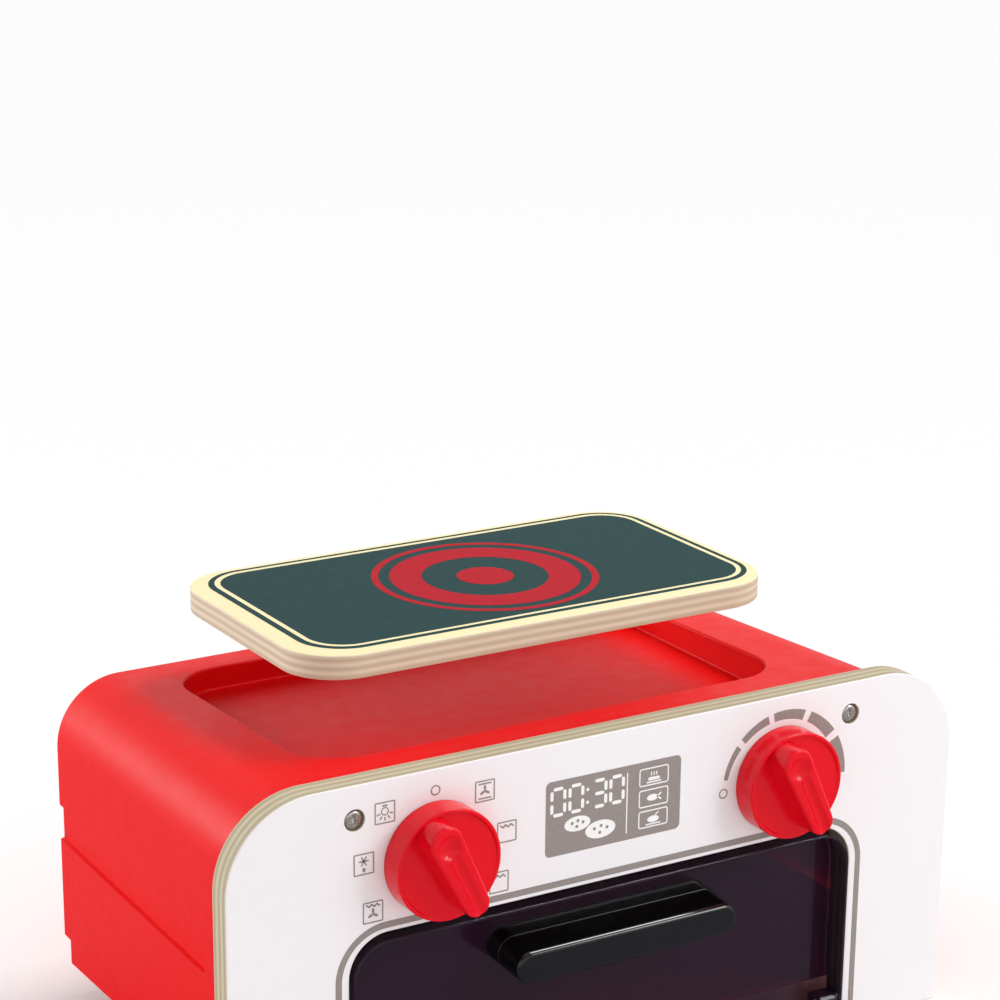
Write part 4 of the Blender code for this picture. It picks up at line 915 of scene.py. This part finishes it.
# %% Pictograms round the left knob
SQUARE_HALF, SQUARE_LINE, SQUARE_CORNER, INNER_CORNER, PEN = 3.5, 0.42, 0.4, 0.1, 0.46
INNER_HALF = SQUARE_HALF - SQUARE_LINE
BULB_OUTER, BULB_INNER, BULB_LIFT = 1.35, 1.0, 0.4


def at(middle, outlines):
    """Move outlines to a place."""
    return [outline + np.array(middle) for outline in outlines]


def zigzag(half, level, height, count):
    """Strokes between points that step across and alternate in height."""
    x = np.linspace(-half, half, count)
    z = level + np.where(np.arange(count) % 2, -height, 0)
    return [stroke((x[i], z[i]), (x[i + 1], z[i + 1]), PEN) for i in range(count - 1)]


def fan(middle):
    """Three blades a third of a turn apart."""
    return [oval((middle[0] + math.cos(math.radians(lean)), middle[1] + math.sin(math.radians(lean))),
                 0.95, 0.45, lean) for lean in (90, 210, 330)]


def rays(middle, near, far, angles):
    """Short strokes that point away from a middle."""
    ways = [np.array([math.cos(math.radians(angle)), math.sin(math.radians(angle))]) for angle in angles]
    return [stroke(middle + near * way, middle + far * way, PEN) for way in ways]


bars = [stroke((-2.1, level), (2.1, level), PEN) for level in (2.35, -2.35)]
lamp = rays((0, 0.3), 1.9, 2.7, (198, 234, 270, 306, 342)) + [stroke((-0.6, 2.2), (0.6, 2.2), 0.6)]
snow = rays((0, 0.9), 0.1, 1.5, range(0, 360, 60)) + [oval((0, -1.9), 0.55, 0.75)]
pictograms = [((-82.05, 112.86), lamp), ((-89.26, 97.75), snow),
              ((-86.21, 81.59), zigzag(2.2, 2.5, 0.7, 6) + fan((0, -0.6))),
              ((-47.36, 112.93), bars + fan((0, 0))), ((-39.41, 97.97), zigzag(2.3, 2.3, 0.8, 6)),
              ((-42.07, 81.75), zigzag(2.3, 2.3, 0.8, 6))]
for middle, outlines in pictograms:
    grey_marks.append(ring_mark(rounded_rectangle(SQUARE_HALF, SQUARE_HALF, SQUARE_CORNER, middle, 3),
                                rounded_rectangle(INNER_HALF, INNER_HALF, INNER_CORNER, middle, 3)))
    grey_marks += [mark(outline) for outline in at(middle, outlines)]
bulb = np.array(pictograms[0][0]) + (0, BULB_LIFT)
grey_marks.append(ring_mark(circle(BULB_OUTER, bulb), circle(BULB_INNER, bulb)))

# %% [markdown]
# The display is a grey ground with white marks on it: a clock that reads half an hour, two biscuits,
# a bar, and three boxes with food on a line. The digits have seven segments, as a real oven's have.

# %% Display
DISPLAY_LOW, DISPLAY_HIGH = np.array([-25.45, 85.98]), np.array([24.95, 110.99])
DISPLAY_CORNER = 1.8
DIGIT_PEN, DIGIT_GAP = 1.15, 0.55
DIGIT_SPANS = ((0.032, 0.148), (0.163, 0.279), (0.336, 0.449), (0.463, 0.578))
DIGIT_TOP, DIGIT_FOOT = 0.086, 0.478
CLOCK = "0030"
LIT = {"0": "abcdef", "3": "abcdg"}
COLON_SHARE, COLON_DOWN_SHARES, DOT_RADIUS = 0.304, (0.2, 0.37), 0.55
BAR_SHARE, BAR_DOWN_SHARES, BAR_PEN = 0.597, (0.1, 0.905), 0.42
BISCUITS = ((0.232, 0.625, 4.8, 2.5), (0.403, 0.767, 5.6, 3.0))
CHIP_PLACES, CHIP_BISCUIT = np.array([(-2.0, 0.5), (0.2, 1.1), (2.2, 0.2), (-0.2, -1.1)]), (5, 3)
FOOD_SHARES, FOOD_DOWN_SHARES = (0.686, 0.908), ((0.088, 0.33), (0.377, 0.617), (0.661, 0.898))
FOOD_LINE, FOOD_CORNER, FOOD_INNER_CORNER = 0.42, 0.9, 0.5


def on_display(across, down):
    """A place on the display from its shares: across from the left edge, down from the top edge."""
    size = DISPLAY_HIGH - DISPLAY_LOW
    return np.array([DISPLAY_LOW[0] + across * size[0], DISPLAY_HIGH[1] - down * size[1]])


def digit(figure, left, right):
    """Strokes between the six nodes of a figure eight, for the segments that the figure lights."""
    (x0, top), (x1, foot) = on_display(left, DIGIT_TOP), on_display(right, DIGIT_FOOT)
    x0, x1 = x0 + DIGIT_PEN / 2, x1 - DIGIT_PEN / 2
    top, foot = top - DIGIT_PEN / 2, foot + DIGIT_PEN / 2
    middle, gap = (top + foot) / 2, DIGIT_PEN / 2 + DIGIT_GAP
    runs = {"a": ((x0 + gap, top), (x1 - gap, top)), "b": ((x1, top - gap), (x1, middle + gap)),
            "c": ((x1, middle - gap), (x1, foot + gap)), "d": ((x0 + gap, foot), (x1 - gap, foot)),
            "e": ((x0, middle - gap), (x0, foot + gap)), "f": ((x0, top - gap), (x0, middle + gap)),
            "g": ((x0 + gap, middle), (x1 - gap, middle))}
    return [stroke(*runs[letter], DIGIT_PEN) for letter in LIT[figure]]


ground = rounded_rectangle(*((DISPLAY_HIGH - DISPLAY_LOW) / 2), DISPLAY_CORNER,
                           (DISPLAY_HIGH + DISPLAY_LOW) / 2, 10)
grey_marks.append(mark(ground))
white_outlines = [outline for figure, span in zip(CLOCK, DIGIT_SPANS) for outline in digit(figure, *span)]
white_outlines += [circle(DOT_RADIUS, on_display(COLON_SHARE, share), 20) for share in COLON_DOWN_SHARES]
white_outlines.append(stroke(*(on_display(BAR_SHARE, share) for share in BAR_DOWN_SHARES), BAR_PEN))
dots = []
for across, down, half_x, half_z in BISCUITS:
    middle = on_display(across, down)
    white_outlines.append(oval(middle, half_x, half_z, steps=48))
    chips = middle + CHIP_PLACES * (half_x / CHIP_BISCUIT[0], half_z / CHIP_BISCUIT[1])
    dots += [circle(DOT_RADIUS, chip, 16) for chip in chips]
white_marks = [mark(outline, OVERPRINT) for outline in white_outlines]
grey_marks += [mark(outline, 2 * OVERPRINT - PRINT_FRONT) for outline in dots]

cake = [stroke((-2.6, -1.9), (2.6, -1.9), 0.45), stroke((-1.7, -0.8), (1.7, -0.8), 1.1),
        *(stroke((x, 0.4), (x, 1.3), 0.4) for x in (-1, 0, 1))]
fish = [oval((-0.4, 0), 2.1, 1.1), stroke((1.5, 0), (2.7, 1.0), 0.55), stroke((1.5, 0), (2.7, -1.0), 0.55)]
loaf = [stroke((-2.6, -1.9), (2.6, -1.9), 0.45), oval((0, -0.3), 2.2, 1.1),
        stroke((0.9, 1.0), (1.9, 1.8), 0.4)]
for (top, foot), food in zip(FOOD_DOWN_SHARES, (cake, fish, loaf)):
    low_corner, high_corner = on_display(FOOD_SHARES[0], foot), on_display(FOOD_SHARES[1], top)
    middle, half = (low_corner + high_corner) / 2, (high_corner - low_corner) / 2
    outer = rounded_rectangle(*half, FOOD_CORNER, middle, 6)
    inner = rounded_rectangle(*(half - FOOD_LINE), FOOD_INNER_CORNER, middle, 6)
    white_marks.append(ring_mark(outer, inner, OVERPRINT))
    white_marks += [mark(outline, OVERPRINT) for outline in at(middle, food)]
piece("panel_print_grey", grey_marks, grey_ink)
piece("panel_print_white", white_marks, white_ink)

# %% [markdown]
# Fifteen cross-head screws hold the toy together. The head is a low dome with a cross pressed into
# it, the shank a core with one ridge wound round it. Both are heights over a polar grid, so one
# function serves every size, and the frame's box gives each screw its place and length. Zinc plating
# is bright but not sharp: it gives back the lamps as soft spots, in a tint between white and warm
# grey. Pins, springs and spindles are plain drawn steel, a little darker and cooler.

# %% Zinc-plated screws
ZINC_GRAIN, STEEL_GRAIN = 0.5, 0.4


def metal(name, colour, worn, roughness, grain_mm):
    """A plated metal: two close tints and a gloss that wander together at the plating's grain."""
    made, tree, shader, place = finish(name, colour, roughness, Metallic=1.0)
    grain = add(tree, "ShaderNodeTexNoise", {"Vector": place, "Scale": 1 / (grain_mm * MM), "Detail": 5.0})
    tint = add(tree, "ShaderNodeMix", {0: grain.outputs["Fac"], MIX_A: linear(colour),
               MIX_B: linear(worn)}, data_type="RGBA")
    gloss = add(tree, "ShaderNodeMapRange", {"Value": grain.outputs["Fac"], "To Min": roughness - 0.08,
                "To Max": roughness + 0.12})
    bump = add(tree, "ShaderNodeBump", {"Height": grain.outputs["Fac"], "Distance": 0.006 * MM})
    feed(tree, shader, Base_Color=tint.outputs[MIX_COLOUR], Roughness=gloss.outputs["Result"],
         Normal=bump.outputs["Normal"])
    return made


zinc = metal("zinc_plated_steel", "E2DFD8", "C2BDB2", 0.24, ZINC_GRAIN)
steel = metal("drawn_steel", "BFC1C4", "9EA0A4", 0.26, STEEL_GRAIN)
LARGE_SCREW = {"shank": 1.5, "head": 2.75, "height": 1.7, "arm": 1.8, "deep": 1.1}
SMALL_SCREW = {"shank": 1.1, "head": 2.1, "height": 1.2, "arm": 1.1, "deep": 0.7}
SCREW_DOME, CROSS_HALF, TIP_LENGTH, THREAD_RIDGE = 0.6, 0.42, 1.5, 0.3
SCREW_STEPS, HEAD_RINGS, PITCH_SHARE, RIDGE_START = 64, 24, 0.8, 1.2


def screw(size, length):
    """Rings about the axis: a wound ridge up the shank, the head's seat and side, then dome less cross."""
    angle = np.linspace(0, 2 * np.pi, SCREW_STEPS + 1)[:-1]
    along = np.linspace(length, 0, int(length * 5))
    pitch = size["shank"] * PITCH_SHARE
    wave = np.abs(2 * ((along[:, None] / pitch - angle / (2 * np.pi)) % 1) - 1)
    taper = np.clip((length - along) / TIP_LENGTH, 0.05, 1)[:, None]
    radius = taper * (size["shank"] - THREAD_RIDGE * wave * smooth_step(0, RIDGE_START, along)[:, None])
    level = np.repeat(along[:, None], len(angle), 1)
    rise = np.linspace(1, 0.02, HEAD_RINGS)[:, None] * size["head"]
    head_radius = np.broadcast_to(rise, (len(rise), len(angle)))
    a, b = np.abs(head_radius * np.cos(angle)), np.abs(head_radius * np.sin(angle))
    arms = np.clip((CROSS_HALF + 0.1 - np.minimum(a, b)) / 0.18, 0, 1)
    arms = arms * np.clip((size["arm"] + 0.1 - np.maximum(a, b)) / 0.25, 0, 1)
    cross = size["deep"] * arms * (1 - 0.5 * np.maximum(a, b) / size["arm"]).clip(0, 1)
    dome = SCREW_DOME * np.sqrt(np.maximum(1 - (head_radius / size["head"]) ** 2, 0))
    head_level = SCREW_DOME - size["height"] - dome + cross
    seat = np.zeros((1, len(angle)))
    radius = np.vstack([radius, seat + size["head"], head_radius])
    level = np.vstack([level, seat, head_level])
    return skin(np.stack([radius * np.cos(angle), level, radius * np.sin(angle)], -1))


def pointing(name):
    """The way a screw's tip points: up from below, back from the panel's face, or else to the front."""
    if name.startswith(("base_screw", "foot_screw")):
        return "up"
    return "back" if name.startswith("panel_screw") else "front"


def placed_screw(name):
    """Point a screw its way, with its head at the near end of its frame piece's box."""
    low, high = node_box(name)
    direction = pointing(name)
    size = SMALL_SCREW if name.startswith(("click_spring", "spindle")) else LARGE_SCREW
    axis = 2 if direction == "up" else 1
    points, faces = screw(size, (high - low)[axis] - size["height"])
    sideways, along, across = points.T
    seat = (low + high) / 2
    if direction == "front":
        seat[1] = high[1] - size["height"]
        points = np.column_stack([sideways, -along, across])
    elif direction == "back":
        seat[1] = low[1] + size["height"]
    else:
        seat[2] = low[2] + size["height"]
        points = np.column_stack([sideways, across, along])
    return points + seat, faces


bodies = {empty.name: body for body, empty in frame["bodies"].items()}
body_of = {node: bodies[made.parent.name] for node, made in frame["nodes"].items()}
for name in sorted(frame["nodes"]):
    if "_screw" in name:
        piece(name + "_threaded", [placed_screw(name)], zinc, body_of[name], [name])

# %% [markdown]
# The hidden pieces already have their true shape in the frame. A copy of each is merged from loose
# triangles into flats, and a bevel rounds its edges, because no moulded or stamped edge is a knife.
# Natural nylon looks milky and waxy, since a little light goes in under its skin. The feet are matt
# black rubber, which shows hardly a highlight.

# %% Hidden pieces
nylon = moulded("natural_nylon", "E9E4D4", "DED8C6", 0.38, 1.2, 0.01, Subsurface_Weight=0.15)
rubber = moulded("black_foot_rubber", "232224", "2C2B2D", 0.7, 0.5, 0.02, IOR=1.5)
HIDDEN = {"base_plate": (casing_red, "red_plastic", 0.4), "back_foot": (rubber, "foot_rubber", 0.5),
          "door_catch": (nylon, "nylon", 0.2), "hinge_pin": (steel, "steel", 0.2),
          "spindle_bush": (nylon, "nylon", 0.15), "click_spring": (steel, "steel", 0.05),
          "click_wheel": (nylon, "nylon", 0.1), "retaining_washer": (steel, "steel", 0.1),
          "knob_spindle": (steel, "steel", 0.15)}


def dressed(name, material, edge):
    """Merge a frame piece's triangles, dissolve what is flat, and round the edges that are left."""
    mesh = frame["nodes"][name].data.copy()
    shape = bmesh.new()
    shape.from_mesh(mesh)
    bmesh.ops.remove_doubles(shape, verts=shape.verts, dist=WELD)
    bmesh.ops.dissolve_limit(shape, angle_limit=math.radians(1), verts=shape.verts, edges=shape.edges)
    shape.to_mesh(mesh)
    shape.free()
    return settle(bpy.data.objects.new(name + "_finished", mesh), material, body_of[name], [name],
                  edge=edge)


for name in sorted(frame["nodes"]):
    for kind, (material, slot, edge) in HIDDEN.items():
        if name.startswith(kind) and "_screw" not in name:
            dressed(name, material, edge)

# %% [markdown]
# The base tray ends in an upright lip just inside the casing's lower edge. It keeps light and dust
# from coming in through the joint. The lip is a strip carried along a U, the casing's own narrowing
# plan less a small gap, and four corners at each station give its section.

# %% Lip of the base tray
LIP_LOW, LIP_HIGH, LIP_WALL, LIP_GAP = 22.0, 27.0, 1.2, 0.5
LIP_FRONT, LIP_BACK, LIP_REACH = 28.0, 147.9, 121.9


def lip_plan(inset):
    """Points along the U: the lesser of a straight side and the casing's inside, then across the back."""
    depth = np.linspace(LIP_FRONT, LIP_BACK - inset, 24)
    inside_half = CASING_HALF - SIDE_DRAFT * (depth - CASING_FRONT) - CASING_WALL - LIP_GAP
    x = np.minimum(LIP_REACH, inside_half) - inset
    return np.column_stack([np.concatenate([x, -x[::-1]]), np.concatenate([depth, depth[::-1]])])


edges = [lying(lip_plan(0), LIP_LOW), lying(lip_plan(0), LIP_HIGH), lying(lip_plan(LIP_WALL), LIP_HIGH),
         lying(lip_plan(LIP_WALL), LIP_LOW)]
piece("base_lip", [skin(np.stack(edges, axis=1))], casing_red)

# %% [markdown]
# The oven stands on a wide white table in a white room. Low down the room is bright, so that the
# upright faces are lit from all round, and overhead it is darker, where a lamp hangs. The camera
# sees a white page, and near the oven the table keeps its shadow. Glossy faces see the table painted
# a dim grey instead of white, a painted reflection, so that they keep their deep colour.

# %% Table and room
TABLE_HALF, TABLE_CORNER, TABLE_DROP = 10000.0, 50.0, 0.05
SHADOW_NEAR, SHADOW_FAR, PAGE_SHARE = 140.0, 270.0, 0.94
mesh = bpy.data.meshes.new("table")
plan = rounded_rectangle(TABLE_HALF, TABLE_HALF, TABLE_CORNER, (0, 0), 4)
mesh.from_pydata(in_frame(lying(plan, -TABLE_DROP)).tolist(), [], [list(range(len(plan)))])
table = bpy.data.objects.new("table", mesh)
bpy.context.scene.collection.objects.link(table)

white = bpy.data.materials.new("white_table")
white.use_nodes = True
tree = white.node_tree
output = tree.nodes["Material Output"]
paint = tree.nodes["Principled BSDF"]
paint.inputs["Roughness"].default_value = 0.9
path = add(tree, "ShaderNodeLightPath")
# Glossy rays see the table painted a dim grey instead of its white: a painted reflection.
table_colour_with_painted_reflection = add(tree, "ShaderNodeMix", {0: path.outputs["Is Glossy Ray"], MIX_A: linear("F2F1F0"),
                   MIX_B: linear("8C8E98")}, data_type="RGBA")
tree.links.new(table_colour_with_painted_reflection.outputs[MIX_COLOUR], paint.inputs["Base Color"])
spot = add(tree, "ShaderNodeTexCoord").outputs["Object"]
away = add(tree, "ShaderNodeVectorMath", {0: spot}, operation="LENGTH").outputs["Value"]
share = add(tree, "ShaderNodeMapRange", {"Value": away, "From Min": SHADOW_NEAR * MM,
            "From Max": SHADOW_FAR * MM, "To Min": 0.0, "To Max": PAGE_SHARE}).outputs["Result"]
seen = add(tree, "ShaderNodeMath", {0: path.outputs["Is Camera Ray"], 1: share}, operation="MULTIPLY")
page = add(tree, "ShaderNodeEmission", {"Color": (1, 1, 1, 1), "Strength": 1.0})
both = add(tree, "ShaderNodeMixShader", {0: seen.outputs[0], 1: paint.outputs[0], 2: page.outputs[0]})
tree.links.new(both.outputs[0], output.inputs["Surface"])
mesh.materials.append(white)

ROOM_LOW, ROOM_HIGH, LOW_SINE, HIGH_SINE = 0.85, 0.42, 0.5, 0.7
world = bpy.data.worlds.new("white_room")
world.use_nodes = True
bpy.context.scene.world = world
tree = world.node_tree
sky = tree.nodes["Background"]
direction = add(tree, "ShaderNodeTexCoord").outputs["Generated"]
up = add(tree, "ShaderNodeSeparateXYZ", {"Vector": direction}).outputs["Z"]
glow = add(tree, "ShaderNodeMapRange", {"Value": up, "From Min": LOW_SINE, "From Max": HIGH_SINE,
           "To Min": ROOM_LOW, "To Max": ROOM_HIGH}).outputs["Result"]
seen = add(tree, "ShaderNodeLightPath").outputs["Is Camera Ray"]
level = add(tree, "ShaderNodeMix", {0: seen, 2: glow, 3: 1.0})
sky.inputs["Color"].default_value = (1, 1, 1, 1)
tree.links.new(level.outputs[0], sky.inputs["Strength"])
print("room strength, low and overhead:", ROOM_LOW, ROOM_HIGH)

# %% [markdown]
# Three lamps: a softbox overhead to the right, which draws the bright lines along the edges of the
# door, the handle and the knobs, a smaller one at the upper right in front, which throws the soft
# shadows of the knobs down to the left, and one behind on the left, which lights the casing's side.

# %% Lamps
OVEN_MIDDLE = (0, 60, 90)


def softbox(name, place, side, watts):
    """A square area lamp at a place in millimetres that faces the middle of the oven."""
    light = bpy.data.lights.new(name, "AREA")
    light.shape, light.size, light.energy = "SQUARE", side * MM, watts
    lamp = bpy.data.objects.new(name, light)
    lamp.location = in_frame(place)
    aim = Vector(in_frame(OVEN_MIDDLE)) - lamp.location
    lamp.rotation_euler = aim.to_track_quat("-Z", "Y").to_euler()
    bpy.context.scene.collection.objects.link(lamp)
    print(f"{name}: {side} mm wide, {watts} W")


softbox("overhead_softbox", (650, 0, 1400), 420, 9.0)
softbox("front_softbox", (1000, -900, 900), 600, 8.0)
softbox("side_softbox", (-1000, 1100, 520), 700, 11.0)

# %% [markdown]
# The camera's place was worked out from the outlines of the panel and the board in the photograph.
# It looks in from the front left, a little from above. The picture is cut low on the toy, and the
# lens shift does the same, so that the perspective stays that of the photograph.

# %% Camera
CAMERA_PLACE = (-470.394, -699.949, 437.727)
YAW, PITCH, ROLL = (math.radians(angle) for angle in (31.504, -17.889, 0.583))
PICTURE, FOCAL, AXIS_ACROSS, AXIS_DOWN = 1000.0, 2896.637, 503.66, 600.0
ahead = Vector((math.sin(YAW) * math.cos(PITCH), math.cos(YAW) * math.cos(PITCH), math.sin(PITCH)))
level_right = Vector((math.cos(YAW), -math.sin(YAW), 0))
level_up = level_right.cross(ahead)
right = math.cos(ROLL) * level_right + math.sin(ROLL) * level_up
over = math.cos(ROLL) * level_up - math.sin(ROLL) * level_right
lens = bpy.data.cameras.new("portrait_camera")
lens.sensor_width = 36.0
lens.lens = lens.sensor_width * FOCAL / PICTURE
lens.shift_x = 0.5 - AXIS_ACROSS / PICTURE
lens.shift_y = AXIS_DOWN / PICTURE - 0.5
lens.clip_start, lens.clip_end = 0.01, 100.0
camera = bpy.data.objects.new("portrait_camera", lens)
turn = Matrix((right, over, -ahead)).transposed().to_4x4()
camera.matrix_world = Matrix.Translation(in_frame(CAMERA_PLACE)) @ turn
bpy.context.scene.collection.objects.link(camera)
bpy.context.scene.camera = camera
bpy.context.scene.view_settings.view_transform = "Standard"
print("focal length:", round(lens.lens, 1), "mm on a", lens.sensor_width, "mm wide sensor")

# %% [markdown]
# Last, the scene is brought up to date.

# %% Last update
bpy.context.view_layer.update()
